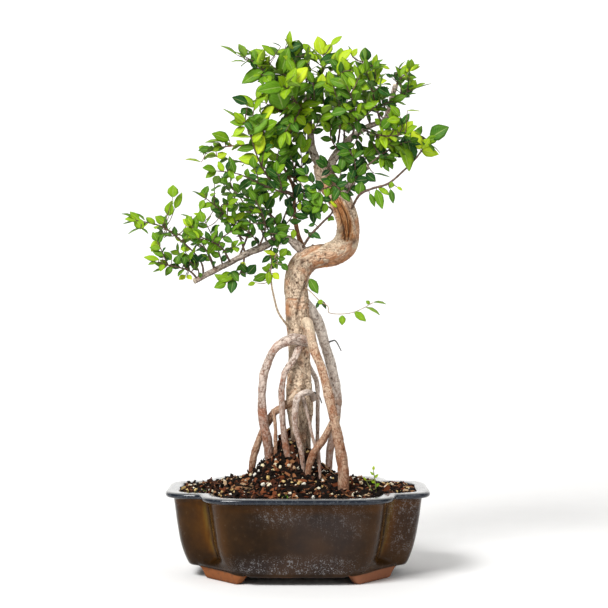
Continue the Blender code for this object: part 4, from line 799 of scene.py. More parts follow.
@once
def bark(name, kind):
    """Flaking bark on the straightened limb: light plates, darker cracks and orange patches,
    with marks for dead wood, clean pale wood, and dark pits that also carry painted shade."""
    light, dark, patch, share = BARKS[kind]
    f = Finish(name, Roughness=0.8, Specular_IOR_Level=0.15)
    limb = f.spot("limb")
    high = f.axis(f.place, "Z")
    scale = f.stretch(limb, (300, 300, 210))
    blotch = f.noise(limb, 95.0, 4.0)
    grain = f.noise(f.stretch(limb, (760, 760, 430)), 1.0, 4.0, 0.72)
    speck = f.noise(limb, 780.0, 2.0)
    fleck = f.noise(limb, 1150.0, 2.0)
    flake = f.cells(scale, 1.0, "DISTANCE_TO_EDGE")
    tint = f.axis(f.cells(scale, 1.0, output="Color"), "X")
    freckle = f.cells(f.stretch(limb, (430, 430, 300)), 1.0).step(0.36, 0.20)
    colour = f.layered(
        f.blend(grain.step(0.38, 0.57), dark, light),
        (tint.step(0.55, 0.9) * 0.55, shade(light, 1.28)),
        (blotch.step(0.64 - 0.3 * share, 0.72) * 0.85, patch),
        (freckle * (1.1 * share) * blotch.step(0.35, 0.6), shade(patch, 0.62)),
        (flake.step(0.05, 0.0) * 0.45, shade(dark, 0.6)),
        (fleck.step(0.57, 0.67) * 0.55, shade(light, 1.35)),
        (speck.step(0.65, 0.71) * 0.6, shade(dark, 0.32)))
    if "root" in kind:  # stained by the soil
        foot = high.step(RIM + 0.110, RIM + 0.016) * (0.2 + 1.3 * blotch) * (1.3 - grain)
        colour = f.blend(foot.least(0.85), colour, (0.21, 0.078, 0.036))
    if kind == "trunk_bark":  # painted shade underneath and between the roots
        # faces that look down turn a darker red brown: partly the bark's own redder tone, partly
        # painted shade
        under = f.axis(f.node("NewGeometry", output="Normal"), "Z").step(-0.15, -0.75)
        # painted shade: darker low on the trunk, between the roots
        low = high.step(RIM + 0.068, RIM + 0.030)
        colour = f.layered(colour, (under * (1.25 - grain) * 0.8, (0.15, 0.050, 0.026)),
                           (low * (1.1 - grain) * 0.7, (0.075, 0.050, 0.036)))
    fibre = f.noise(f.stretch(limb, (1300, 1300, 60)), 1.0, 3.0, 0.7)
    bare = f.ramp(fibre, (0.3, (0.09, 0.035, 0.015)), (0.47, (0.36, 0.13, 0.04)),
                  (0.56, (0.62, 0.33, 0.14)), (0.72, (0.50, 0.36, 0.25)))
    # the dark mark: pits, cracks and snags, and painted shade in the trunk's crease, low on the trunk
    # and under the branches
    colour = f.layered(
        colour, (f.mark("dead"), bare), (f.mark("pale"), (0.72, 0.60, 0.44)),
        (f.mark("warm"), f.blend(grain, (0.30, 0.10, 0.035), (0.6, 0.31, 0.15))),
        (f.mark("dark"), (0.045, 0.022, 0.013)))
    height = grain * 0.5 + flake.least(0.12) * 3.0 + fibre * f.mark("dead")
    return f.feed(colour, 0.72 + 0.2 * grain, height, 0.0011)


@once
def twig_wood(name, kind):
    """Thin smooth twigs: brown, red or still green, with paler dots."""
    low, high = {"brown": ((0.045, 0.024, 0.015), (0.16, 0.09, 0.05)),
                 "red": ((0.11, 0.032, 0.014), (0.27, 0.10, 0.04)),
                 "pale": ((0.22, 0.145, 0.085), (0.50, 0.39, 0.26)),
                 "grey": ((0.025, 0.026, 0.024), (0.10, 0.10, 0.09)),
                 "green": ((0.13, 0.15, 0.03), (0.26, 0.30, 0.07))}[kind]
    f = Finish(name, Roughness=0.6)
    spots = f.noise(f.place, 900.0, 2.0)
    return f.feed(f.blend(spots.step(0.35, 0.7), low, high), height=spots, depth=0.0002)


@once
def leaf_blade(name):
    """A leaf: dark to yellow green by its age, a pale midrib with slanting side veins, quilted
    between them, paler and duller underneath."""
    f = Finish(name, Specular_IOR_Level=0.16)
    blade = f.spot("blade")
    across, along = f.axis(blade, "X"), f.axis(blade, "Y")
    under = f.axis(blade, "Z")
    age = f.mark("age")
    cloud = f.noise(f.place, 260.0, 2.0)
    grown = (age + 0.22 * (cloud - 0.5)).most(0.0).least(1.0)
    side = across.size()
    midrib = side.step(0.11, 0.03) * along.step(0.02, 0.1)
    veins = ((along * 8.0 - side * 2.6).fraction() - 0.5).size().step(0.12, 0.02)
    veins = veins * side.step(0.98, 0.75)
    colour = f.layered(
        f.ramp(grown, (0.0, chosen().old_leaf), (0.26, (0.022, 0.100, 0.009)),
               (0.52, (0.108, 0.245, 0.006)), (0.74, (0.30, 0.47, 0.009)),
               (0.92, chosen().young_leaf)),
        (veins * 0.1, (0.42, 0.52, 0.13)), (midrib * 0.294, (0.50, 0.58, 0.20)),
        (under * 0.4, (0.20, 0.30, 0.09)), (side.step(0.82, 1.0) * 0.175, (0.02, 0.05, 0.006)))
    height = veins * -0.6 - midrib + cloud * 0.4
    return f.feed(colour, 0.42 + 0.25 * under + 0.12 * cloud, height, 0.00025, 0.7)


def rim_glaze(f, cloud, wear, height):
    """The thicker glaze of the rim: blue black, worn in patches, with a painted pale reflection on
    top.
    """
    # painted reflection: the flat top of the lip is paler
    top = height.step(RIM - 0.0012, RIM - 0.0002)
    return f.layered(f.blend(cloud, (0.003, 0.005, 0.011), (0.008, 0.013, 0.023)),
                     (top * 0.75, (0.19, 0.19, 0.185)), (wear * 0.10, (0.30, 0.33, 0.35)))


def bare_clay(f, mottle, grit, x):
    """Unglazed orange clay, gritty and stained, duller at the right-hand feet."""
    stain = f.noise(f.place, 300.0, 3.0).step(0.56, 0.68)
    return f.layered(f.blend(mottle, (0.17, 0.052, 0.016), chosen().clay),
                     (grit.step(0.6, 0.75) * 0.6, (0.13, 0.05, 0.025)),
                     (stain * 0.5, (0.10, 0.05, 0.03)),
                     (x.step(0.0, 0.03) * 0.35, (0.25, 0.12, 0.085)))


def frosted(x, y, z):
    """Where crystals of frost lie on the front: low down, at the right-hand lobe, and in two
    patches higher up."""
    low = z.step(0.028, 0.011) * z.step(0.008, 0.012) * x.size().step(0.062, 0.018)
    right = x.step(0.066, 0.078) * z.step(0.012, 0.03)
    upper = (x + 0.012).size().step(0.03, 0.006) * z.step(0.042, 0.054) * z.step(0.066, 0.06)
    upper = upper + 0.6 * (x - 0.035).size().step(0.03, 0.006) * z.step(0.03, 0.05)
    return ((low * 1.7 + right * 0.6 + upper * 0.5) * y.step(0.01, -0.02)).least(1.0)


@once
def iron_glaze(name):
    """Dark brown iron glaze, amber where it has run thin, blue black on the rim, with crystals
    of pale frost on the front, and bare orange clay under its lower edge."""
    f = Finish(name, Specular_IOR_Level=0.10, Coat_Roughness=0.08)
    x = f.axis(f.place, "X") - MIDDLE_X
    y, z = f.axis(f.place, "Y"), f.axis(f.place, "Z")
    cloud = f.noise(f.place, 26.0, 4.0)
    mottle = f.noise(f.place, 210.0, 4.0, 0.6)
    runs = f.noise(f.stretch(f.place, (260, 260, 38)), 1.0, 3.0)
    speck = f.noise(f.place, 1250.0, 3.0, 0.7)
    fine = f.noise(f.place, 1000.0, 3.0, 0.7)
    grit = f.noise(f.place, 1700.0, 2.0)
    wear = f.noise(f.place, 420.0, 3.0, 0.65).step(0.50, 0.66)
    amber = (f.mark("thin") * (0.30 + 0.8 * runs)).least(1.0)
    frost = frosted(x, y, z)
    crystal = frost * (fine * 0.62 + mottle * 0.30 + runs * 0.12).step(0.55, 0.64)
    # painted reflection: a bluish sheen on the right half of the front
    painted_sheen = ((x - 0.02).size().step(0.05, 0.01) * y.step(0.01, -0.02)
             * z.step(0.01, 0.03) * z.step(0.066, 0.05))
    rim = z.step(RIM - 0.0052, RIM - 0.0038)
    inside = f.mark("inside")
    wave = 0.0056 + 0.0026 * x.size().step(0.03, 0.07) + 0.0016 * f.noise(f.place, 60.0, 2.0)
    clay = (wave - z).step(-0.0004, 0.0006)
    colour = f.layered(
        f.blend(cloud.step(0.35, 0.7), chosen().glaze_dark, chosen().glaze_light),
        (mottle.step(0.45, 0.75) * 0.4, (0.034, 0.017, 0.006)),
        (amber, f.blend(mottle, (0.066, 0.021, 0.001), chosen().amber)),
        # painted highlight: the olive line beside each notch
        (f.mark("edge") * runs.step(0.35, 0.6) * 0.7, (0.13, 0.085, 0.014)),
        (crystal * 0.75, (0.30, 0.30, 0.31)), (frost * 0.05, (0.20, 0.20, 0.24)),
        (painted_sheen * 0.06, (0.14, 0.16, 0.20)), (speck.step(0.71, 0.77) * 0.3, (0.28, 0.24, 0.19)),
        (rim, rim_glaze(f, cloud, wear, z)), (inside, (0.10, 0.052, 0.030)),
        (clay, bare_clay(f, mottle, grit, x)))
    bare = clay.most(inside)
    roughness = 0.17 + 0.16 * mottle + 0.4 * crystal + 0.62 * bare - 0.05 * rim
    height = mottle * 0.25 + crystal * 0.35 + grit * bare * 0.9 + wear * rim * 0.1
    return f.feed(colour, roughness, height, 0.00035, 0.6, coat=rim * 0.7)


@once
def potting_mix(name):
    """The fine dark part of the soil between its chips."""
    f = Finish(name, Roughness=0.95, Specular_IOR_Level=0.05)
    crumb = f.noise(f.place, 900.0, 4.0, 0.7)
    chip = f.cells(f.place, 620.0, output="Distance")
    colour = f.ramp(crumb, (0.3, (0.005, 0.003, 0.003)), (0.55, (0.013, 0.008, 0.006)),
                    (0.66, (0.05, 0.020, 0.011)), (0.78, (0.13, 0.065, 0.035)))
    return f.feed(colour, height=crumb - chip, depth=0.0012)


@once
def bits(name, kind):
    """Loose bits of the soil, each coloured by its own mark."""
    stops = {
        "chips": ((0.0, (0.006, 0.004, 0.003)), (0.58, (0.012, 0.007, 0.005)),
                  (0.72, (0.060, 0.021, 0.011)), (0.86, (0.20, 0.055, 0.020)),
                  (0.95, (0.36, 0.18, 0.08)), (1.0, (0.44, 0.32, 0.20))),
        "grains": ((0.0, (0.82, 0.78, 0.68)), (0.4, (0.74, 0.66, 0.47)),
                   (0.7, (0.66, 0.47, 0.18)), (1.0, (0.42, 0.26, 0.12))),
        "moss": ((0.0, (0.05, 0.13, 0.01)), (1.0, (0.18, 0.36, 0.03))),
    }[kind]
    f = Finish(name, Roughness=0.85, Specular_IOR_Level=0.1)
    own = f.mark("own")
    grit = f.noise(f.place, 1600.0, 3.0, 0.65)
    fibre = f.noise(f.stretch(f.place, (1500, 900, 900)), 1.0, 3.0)
    colour = f.ramp((own + 0.16 * (fibre - 0.5)).most(0.0).least(1.0), *stops)
    colour = f.blend(grit.step(0.55, 0.8) * 0.35, colour, (0.03, 0.015, 0.008))
    return f.feed(colour, 0.75 + 0.2 * grit, grit + fibre, 0.0004, 0.8)


@once
def screen_plastic(name):
    """The dark green plastic of the drain screens, a little scuffed."""
    f = Finish(name, Roughness=0.5)
    scuff = f.noise(f.place, 700.0, 3.0)
    return f.feed(f.blend(scuff, (0.010, 0.030, 0.016), (0.035, 0.07, 0.045)),
                  0.42 + 0.25 * scuff, scuff, 0.0001)


@once
def staple_wire(name):
    """Bare wire, scratched along its length."""
    f = Finish(name, Metallic=1.0)
    scuff = f.noise(f.stretch(f.place, (400, 1600, 1600)), 1.0, 3.0)
    return f.feed(f.blend(scuff, (0.30, 0.27, 0.24), (0.55, 0.52, 0.48)), 0.3 + 0.3 * scuff,
                  scuff, 0.00005)


@once
def pale_paper(name):
    """The studio's seamless background paper."""
    f = Finish(name, Specular_IOR_Level=0.1)
    fibre = f.noise(f.place, 30.0, 2.0)
    return f.feed(f.blend(fibre, (0.87, 0.865, 0.855), chosen().paper), 0.9 + 0.05 * fibre)


# ---------------------------------------------------------------- the pot

# How finely the pieces are sampled
POT_COLUMNS = 440
SOIL_COLUMNS, SOIL_RINGS = 360, 120
TRUNK_COLUMNS, TRUNK_ROWS = 230, 400
ROOT_COLUMNS, BRANCH_COLUMNS = 72, 60
LIMB_ROW_GAP = 0.0006
BRIDGED_ROWS = 90  # the wall's rows that may bridge a notch; the ones after them are inside
APRON_DROP = 0.0030  # how much lower the edge hangs between the feet at the front and back


def outline_radius(angles, inset):
    """Distance from the pot's centre to its outline, drawn in by inset: the larger of two
    superellipses, with a soft change from one to the other in the notches."""
    def lobe(half_x, half_y):
        """One superellipse: (|cos| / half_x)^p + (|sin| / half_y)^p, to the power -1 / p."""
        across = np.abs(np.cos(angles) / (half_x - inset)) ** CORNER_POWER
        return (across + np.abs(np.sin(angles) / (half_y - inset)) ** CORNER_POWER) ** (
            -1 / CORNER_POWER)

    ends = lobe(POT_LENGTH / 2, END_LOBE_DEPTH / 2)
    front = lobe(FRONT_LOBE_LENGTH / 2, POT_DEPTH / 2)
    softness = NOTCH_SOFTNESS + (BASE_NOTCH_SOFTNESS - NOTCH_SOFTNESS) * (inset / BASE_INSET) ** 2
    return (ends + front + np.sqrt((ends - front) ** 2 + softness**2)) / 2


def quarter_angles(angles):
    """Angles in degrees brought into the first quarter by the pot's mirror planes."""
    turned = np.degrees(angles) % 180
    return np.minimum(turned, 180 - turned)


def bridged_radius(angles, inset):
    """The outline with its notch bridged by a straight line between the lobes' corners."""
    plain = outline_radius(angles, inset)
    ends = np.radians(np.array(FOOT_LINE_ANGLES))[:, None]
    far = outline_radius(ends, inset)
    x0, y0 = far[0] * np.cos(ends[0]), far[0] * np.sin(ends[0])
    x1, y1 = far[1] * np.cos(ends[1]), far[1] * np.sin(ends[1])
    turned = np.radians(quarter_angles(angles))
    across = np.cos(turned) * (y1 - y0) - np.sin(turned) * (x1 - x0)
    line = (x0 * y1 - y0 * x1) / across
    within = (turned > ends[0]) & (turned < ends[1])
    return np.where(within, np.maximum(plain, line), plain)


def pot_section():
    """The wall's section as rows of inset and height: from the foot's inner edge, down over its
    sole, up the outside, over the lip and down the inside. The first rows are shares of the way
    from the floor's underside to the sole, which each angle stretches to its own depth."""
    foot = [(0.0312, 0.0), (0.0306, 0.12), (0.0298, 0.55), (0.0290, 0.93), (0.0280, 1.0),
            (0.0240, 1.0), (0.0226, 0.96), (0.0217, 0.80), (0.0212, 0.50), (0.0209, 0.15)]
    wall = [(0.0206, 0.0096), (0.0194, 0.0103), (0.0180, 0.0124), (0.0160, 0.0165),
            (0.0137, 0.0225), (0.0119, 0.0290), (0.0107, 0.0350), (0.0090, 0.0450),
            (0.0076, 0.0550), (0.0068, 0.0608), (0.0063, 0.0632), (0.0052, 0.0641),
            (0.0030, 0.0644),
            (0.0012, 0.0648), (0.0002, 0.0657), (0.0000, 0.0668), (0.0004, 0.0680),
            (0.0016, 0.06885), (0.0036, 0.0690), (0.0085, 0.0688), (0.0104, 0.0684),
            (0.0112, 0.0674), (0.0115, 0.0655), (0.0116, 0.0600), (0.0125, 0.0480),
            (0.0158, 0.0330), (0.0204, 0.0162), (0.0236, 0.0155)]
    return smooth(foot, 46), smooth(wall, 124)


def pot_angles(count):
    """Angles whose points lie at equal steps along the pot's outline."""
    fine = np.linspace(0, 2 * math.pi, 8001)
    radius = outline_radius(fine, 0)
    length = walked(np.stack([radius * np.cos(fine), radius * np.sin(fine)], axis=1))
    return np.interp(np.arange(count) / count * length[-1], length, fine)


def pot_surface(settings):
    """The pot's points, as a grid of section rows and angles, and its marks."""
    angles = pot_angles(POT_COLUMNS)
    turned = quarter_angles(angles)
    begins, stands, stops, ends = FOOT_ANGLES
    standing = ramp(turned, begins, stands) * ramp(-turned, -ends, -stops)
    feet, walls = pot_section()
    insets = np.concatenate([feet[:, 0], walls[:, 0]])[:, None]
    depth = FOOT_HEIGHT * (1 - feet[:, 1:2] * standing[None])
    height = np.concatenate([depth, np.broadcast_to(walls[:, 1:2], (len(walls), POT_COLUMNS))])
    # over the feet the wall bridges the notch, up to where it meets the body
    plain = np.stack([outline_radius(angles, inset) for inset in insets[:, 0]])
    bridge = np.stack([bridged_radius(angles, inset) for inset in insets[:, 0]])
    foot = ramp(turned, begins - 1, stands) * ramp(-turned, -ends - 1, -stops)
    share = foot[None] * ramp(-height, -(FOOT_HEIGHT + FOOT_RISE), -(FOOT_HEIGHT + 0.001))
    share[len(feet) + BRIDGED_ROWS :] = 0
    radii = plain + (bridge - plain) * share
    # the apron: the lower edge hangs deeper between the front feet and between the back ones
    hanging = ramp(turned, 54, 60) * ramp(-insets, -0.0232, -0.0214)
    height = height - APRON_DROP * hanging * ramp(-height, -0.022, -0.0095)
    place = np.stack([radii * np.cos(angles), radii * np.sin(angles), height], axis=2)
    wobble = rugged(place, (0.03, 0.03, 0.02), 5, 2) * settings.hand_thrown
    radii = radii + wobble * (height > 0.001)
    rows = np.arange(len(insets))[:, None]
    inner = len(feet) + int(np.argmax(walls[:, 1]))
    marks = glaze_marks(turned, height)
    marks["inside"] = np.broadcast_to(ramp(rows, inner + 6, inner + 18), height.shape)
    return ring_of(radii, angles, height), marks


def glaze_marks(turned, height):
    """Where the glaze has run thin, at the notches, corners and under the lip, and the olive
    line beside each notch, a painted highlight on the ridge there."""
    notch = np.abs(turned - math.degrees(math.atan2(END_LOBE_DEPTH, FRONT_LOBE_LENGTH)))
    corner = np.minimum(np.abs(turned - 25.5), np.abs(turned - 47.5))
    thin = 0.9 * np.exp(-(((notch - 4.2) / 1.8) ** 2)) + 0.25 * np.exp(-((corner / 4) ** 2))
    thin = thin + 0.16 * ramp(-turned, -30, -12)
    thin = np.broadcast_to(thin[None], height.shape) * ramp(height, 0.012, 0.03)
    thin = thin + 0.4 * np.exp(-(((height - 0.0605) / 0.003) ** 2))
    # painted highlight: an olive line on the ridge beside each notch
    edge = 0.8 * np.exp(-(((notch[None] - 3.0) / 1.2) ** 2)) * ramp(height, 0.015, 0.03)
    return {"thin": np.clip(thin, 0, 1), "edge": edge}


def cut_drain_holes(pot):
    """Cuts the two round holes in the floor with a cylinder each, and makes that the mesh."""
    radius = np.full(48, DRAIN_HOLE_RADIUS)
    for side in (-1, 1):
        rings = np.stack([ring_of(radius, round_angles(48), z) for z in (0.002, 0.03)])
        points, faces = closed_tube(rings + np.array([side * DRAIN_HOLE_SPACING / 2, 0, 0]))
        mesh = bpy.data.meshes.new("hole")
        mesh.from_pydata(points, [], [tuple(face) for block in faces for face in block])
        cutter = bpy.data.objects.new("hole", mesh)
        bpy.context.scene.collection.objects.link(cutter)
        cut = pot.modifiers.new("hole", "BOOLEAN")
        cut.object, cut.operation, cut.solver = cutter, "DIFFERENCE", "EXACT"
        bpy.context.view_layer.objects.active = pot
        bpy.ops.object.modifier_apply(modifier="hole")
        bpy.data.objects.remove(cutter)


def build_pot(settings):
    """The pot as one closed skin, with its drain holes cut."""
    place, marks = pot_surface(settings)
    points, faces = closed_tube(place)
    marks = {name: with_ends(values) for name, values in marks.items()}
    pot = make_piece("pot_glazed", points, faces, [iron_glaze()], marks, ("pot",),
                     sharp=50)
    cut_drain_holes(pot)


# ---------------------------------------------------------------- the soil


def soil_height(x, y):
    """The heap's height: level near the rim, rising as 1 / (1 + d^2) to its middle."""
    away = ((x - MOUND[0]) ** 2 + (y - MOUND[1]) ** 2) / MOUND[2] ** 2
    return RIM - SOIL_BELOW_RIM + MOUND[3] / (1 + away)


def build_soil(settings, luck):
    """The heap: rings of the pot's inner outline shrunk towards the mound's middle, each at the
    heap's height plus crumbs, closed by a wall and a bottom under it."""
    angles = round_angles(SOIL_COLUMNS)
    radius = outline_radius(angles, SOIL_INSET)
    edge = np.stack([radius * np.cos(angles), radius * np.sin(angles)], axis=1)
    middle = np.array(MOUND[:2])
    shares = np.linspace(1, 0.004, SOIL_RINGS)[:, None, None]
    spread = middle + (edge - middle) * shares
    z = soil_height(spread[..., 0], spread[..., 1])
    flat = np.concatenate([spread, z[..., None]], axis=2)
    z = z + (0.0016 * rugged(flat, 0.009, 3) + 0.0009 * rough(flat, 0.0028, 8)) * (
        ramp(-shares[..., 0], -1.0, -0.97))
    top = np.stack([MIDDLE_X + spread[..., 0], spread[..., 1], z], axis=2)
    under = np.stack([ring_of(outline_radius(angles, inset), angles, height) for inset, height in
                      ((0.0240, 0.0215), (0.0208, 0.0216), (0.0162, 0.0330), (0.0130, 0.0480),
                       (0.0120, 0.0600))])
    points, faces = closed_tube(np.concatenate([under, top]))
    make_piece("soil_heap", points, faces, [potting_mix()], stands_for=("soil",))
    scatter_bits("bark_chips", "chips", settings.chips, luck, chip_shape(), (2.2, 10.0))
    scatter_bits("pumice_grains", "grains", settings.grains, luck, grain_shape(), (1.4, 4.4))
    scatter_bits("moss_tufts", "moss", 150, luck, grain_shape(), (0.7, 1.6),
                 clumps=((-79, -22, 5), (-12, -61, 4), (-10, -62, 3), (28, -58, 2)))


def chip_shape():
    """A split flake of bark: three four-cornered sections, the outer ones smaller."""
    rings = [np.array([(s, -a, -b), (s, a, -b), (s, a, b), (s, -a, b)]) for s, a, b in
             ((-0.5, 0.12, 0.05), (0.05, 0.2, 0.09), (0.5, 0.09, 0.04))]
    points = np.concatenate(rings)
    faces = [(3, 2, 1, 0), (8, 9, 10, 11)]
    for k in (0, 4):
        faces += [(k + i, k + (i + 1) % 4, k + 4 + (i + 1) % 4, k + 4 + i) for i in range(4)]
    return points, np.array(faces)


def grain_shape():
    """A lump with twenty faces: an icosahedron, whose faces are its triples of near points."""
    golden = (1 + math.sqrt(5)) / 2
    points = np.array([(s, t * golden, 0) for s in (-1, 1) for t in (-1, 1)])
    points = np.concatenate([points, np.roll(points, 1, axis=1), np.roll(points, 2, axis=1)])
    faces = np.array(list(combinations(range(12), 3)))
    a, b, c = points[faces].transpose(1, 0, 2)
    longest = np.max([np.linalg.norm(p - q, axis=1) for p, q in ((a, b), (b, c), (a, c))], axis=0)
    inward = (np.cross(b - a, c - a) * (a + b + c)).sum(axis=1) <= 0
    faces[inward] = faces[inward][:, [0, 2, 1]]
    return points / np.linalg.norm(points[0]) / 2, faces[longest < 2.1]


def scatter_bits(name, kind, count, luck, shape, sizes, clumps=None):
    """Many copies of one small shape on the soil, each turned, stretched and dented at random,
    lying nearly flat on the slope and a little sunk in."""
    base, faces = shape
    spots = []
    if clumps:
        for x, y, wide in clumps:
            spots.append(luck.normal((x * MM, y * MM), wide * MM, (count // len(clumps), 2)))
    else:
        spots.append(np.array(MOUND[:2]) + luck.normal(0, 0.014, (count // 5, 2)))
        spots.append(luck.uniform((-0.1, -0.08), (0.1, 0.08), (count * 2, 2)))
    spots = np.concatenate(spots)
    away = np.hypot(spots[:, 0], spots[:, 1])
    inside = away < outline_radius(np.arctan2(spots[:, 1], spots[:, 0]), SOIL_INSET + 0.0022)
    spots = spots[inside][:count]
    n = len(spots)
    x, y = spots.T
    z = soil_height(x, y)
    step = 0.0005
    slope = np.stack([-(soil_height(x + step, y) - z) / step,
                      -(soil_height(x, y + step) - z) / step, np.ones(n)], axis=1)
    up = unit(unit(slope) + luck.normal(0, 0.42, (n, 3)))
    ahead = unit(np.cross(up, luck.normal(0, 1, (n, 3))))
    left = np.cross(up, ahead)
    sizes = luck.uniform(0, 1, n) ** 1.8 * (sizes[1] - sizes[0]) + sizes[0]
    stretch = luck.uniform(0.65, 1.25, (n, 1, 3))
    dents = luck.normal(0, 0.07, (n, len(base), 3)) * (1 if kind != "chips" else 0.55)
    local = (base[None] * stretch + dents) * sizes[:, None, None] * MM
    turned = (local[..., 0:1] * ahead[:, None] + local[..., 1:2] * left[:, None]
              + local[..., 2:3] * up[:, None])
    lift = 0.0006 + 0.16 * sizes * MM * (kind == "grains")
    centre = np.stack([MIDDLE_X + x, y, z + lift], axis=1)
    points = (centre[:, None] + turned).reshape(-1, 3)
    blocks = (faces[None] + np.arange(n)[:, None, None] * len(base)).reshape(-1, faces.shape[1])
    own = luck.uniform(0, 1, n)
    if kind == "grains":
        own = own * np.clip(1.15 - 2.5 * x - 0.25 * luck.uniform(0, 1, n), 0.3, 1)
    make_piece(name, points, [blocks], [bits(kind)], {"own": np.repeat(own, len(base))},
               sharp=25)


# ---------------------------------------------------------------- wood


def limb_marks(shape):
    """The bark's marks, all nothing yet."""
    return {name: np.zeros(shape) for name in ("dead", "pale", "warm", "dark")}


def bark_relief(straight, size, seed):
    """Bark in metres: broad lumps, plates with sunken cracks at their own heights, fine grain."""
    _, gap, value = plates(straight, np.array([0.8, 0.8, 1.15]) * size, seed)
    lumps = 0.00042 * rugged(straight, (0.007, 0.007, 0.013), seed + 11, 3)
    plate = 0.00022 * ramp(gap, 0.0, 0.22) + 0.00024 * (value - 0.5)
    return lumps + plate + 0.00011 * rough(straight, 0.0011, seed + 23)


def build_trunk(settings):
    """The trunk: a round skin along its route, with flutes that wind down to the roots, bark
    plates, and the marks of its age set one by one on the front."""
    rows = smooth(in_place(TRUNK), TRUNK_ROWS)
    centres, outward, straight = carried(rows, TRUNK_COLUMNS)
    radius = np.broadcast_to(rows[:, None, 3], outward.shape[:2])
    place = centres + outward * radius[..., None]
    spot = on_route(place)
    x, z = spot[..., 0], spot[..., 2]
    turn = np.arctan2(straight[..., 1], straight[..., 0])
    relief = bark_relief(straight, 0.0052, 40) * settings.bark_depth
    low = ramp(-z, -104, -70)
    wind = 5 * turn + 40 * straight[..., 2] + 1.6 * rough(straight, 0.012, 51)
    relief = relief + (0.0010 * low + 0.00035) * np.sin(wind)
    relief = relief + 0.0006 * low * np.sin(9 * turn - 60 * straight[..., 2])
    relief = relief - 0.0006 * (1 - low) * np.cos(2 * turn + 22 * straight[..., 2] + 1.0)
    marks = limb_marks(z.shape)

    def stroke(line, width):
        """How close the trunk's points are to a line drawn on its front."""
        return front_stroke(place, outward, line, width)

    # wrinkles that ring the trunk under the first bend and over root_1
    ringed = stroke(((-4, 163), (-3, 150)), 8) + 0.8 * stroke(((-6, 112), (6, 112)), 6)
    ringed = ringed + 1.2 * stroke(((-9, 82), (8, 84)), 5)
    ringed = ringed + 1.2 * stroke(((4, 150), (13, 140), (9, 134)), 5)
    relief = relief + 0.00032 * ringed * np.sin(
        2 * math.pi * (z + 1.1 * rough(straight, 0.006, 61)) / 2.5)
    # the long crease between the front strand and the one behind it, sunk and darkened with painted
    # shade
    crease = stroke(((10, 170), (6, 163), (3.4, 158), (1, 149), (-0.7, 140)), 1.3)
    crease = crease + 0.6 * stroke(((-0.7, 140), (1, 130), (5, 124)), 1.2)
    relief = relief - 0.0013 * crease
    marks["dark"] += 0.5 * crease
    # the callus along the top of the bend, with its warm line
    ridge = stroke(((3, 184.5), (10, 188), (19.4, 192.4), (27, 197.5), (32, 203), (35, 210)), 1.7)
    relief = relief + 0.0011 * ridge
    line = stroke(((3.5, 185.6), (11, 190), (20, 195), (28, 200.5), (33, 206)), 0.7)
    relief = relief - 0.0009 * line
    marks["warm"] += 0.75 * line
    marks["pale"] += 0.35 * ridge
    # dead wood on the upper bend: a hollow with fibres, cracks and raised living edges
    strip = stroke(((31, 229), (36, 221), (39, 212), (40, 203)), 5.6)
    hollow = ramp(strip, 0.28, 0.62)
    fibres = np.sin(2 * math.pi * (turn * 9 + 2.2 * rough(straight, (0.004, 0.004, 0.03), 71)))
    relief = relief * (1 - 0.75 * hollow) - 0.0012 * hollow + 0.00032 * hollow * fibres
    relief = relief + 0.0011 * (ramp(strip, 0.1, 0.3) - ramp(strip, 0.35, 0.6))
    marks["dead"] = hollow
    cracks = (stroke(((29.5, 228), (33, 219), (35.6, 210), (37.6, 200)), 0.8)
              + stroke(((35, 228), (39, 219), (40.6, 210), (40.6, 200)), 0.6)
              + 0.7 * stroke(((26, 222), (30, 215), (33, 208)), 0.8))
    relief = relief - 0.0013 * cracks
    marks["dark"] += 0.85 * cracks
    # scaly warm bark under the bend and at its right end
    scaly = stroke(((14, 180), (24, 182), (34, 187), (42, 194)), 5.5)
    under = ramp(-outward[..., 2], 0.25, 0.9) * ramp(x, 14, 22) * ramp(-z, -205, -196)
    _, gap, value = plates(straight, (0.0034, 0.0034, 0.0042), 77)
    scaly = np.clip(scaly + under, 0, 1)
    relief = relief + scaly * (0.00045 * (value - 0.5) + 0.0003 * ramp(gap, 0, 0.25))
    marks["warm"] += 0.85 * under * ramp(value, 0.05, 0.35) + 0.6 * scaly * ramp(value, 0.55, 0.7)
    marks["pale"] += 0.7 * scaly * (1 - under) * ramp(-value, -0.45, -0.3)
    # painted shade: the trunk darker in patches low down, between the roots
    marks["dark"] += 0.55 * ramp(-z, -66, -38) * ramp(rough(straight, 0.006, 83), -0.6, 0.3)
    # dark cracks between the plates under the bend
    marks["dark"] += 0.5 * under * ramp(-gap, -0.12, 0.0)
    # the knob at the bend's right, snags, a healed slit and a warm scar
    for at, wide, high, kind in (
            ((43.5, 198.5), 3, 0.0026, "dark"), ((25, 199.2), 1.1, 0.0020, "dark"),
            ((12.1, 195), 0.9, 0.0016, "dark"), ((3.5, 181.5), 2.2, -0.0012, "dark"),
            ((-8.5, 141.5), 3.4, 0.0006, "warm"), ((14, 236), 2.6, -0.0008, "warm"),
            ((24, 240), 4.5, 0.0007, "warm"), ((6, 108), 1.6, -0.0009, "dark"),
            ((-3, 101), 1.5, -0.0010, "dark"), ((2.6, 100), 1.6, -0.0014, "dark"),
            ((-2.5, 102), 1.3, -0.0009, "warm"), ((-9, 147), 3.4, 0.0, "warm"),
            ((3, 112.5), 2.6, -0.0006, "warm"), ((-7, 136), 2.4, 0.0, "dark")):
        mark = stroke((at,), wide)
        relief = relief + high * mark
        marks[kind] += 0.8 * mark
    slit = stroke(((-7.6, 152), (-1.4, 151.6)), 0.6)
    relief = relief - 0.0007 * slit
    marks["warm"] += slit
    curl = np.hypot(x - 10.5, z - 142.4)
    curled = stroke(((7, 146), (10.5, 142.4), (13, 138)), 6)
    relief = relief + 0.0006 * curled * np.cos(2 * math.pi * curl / 2.7)
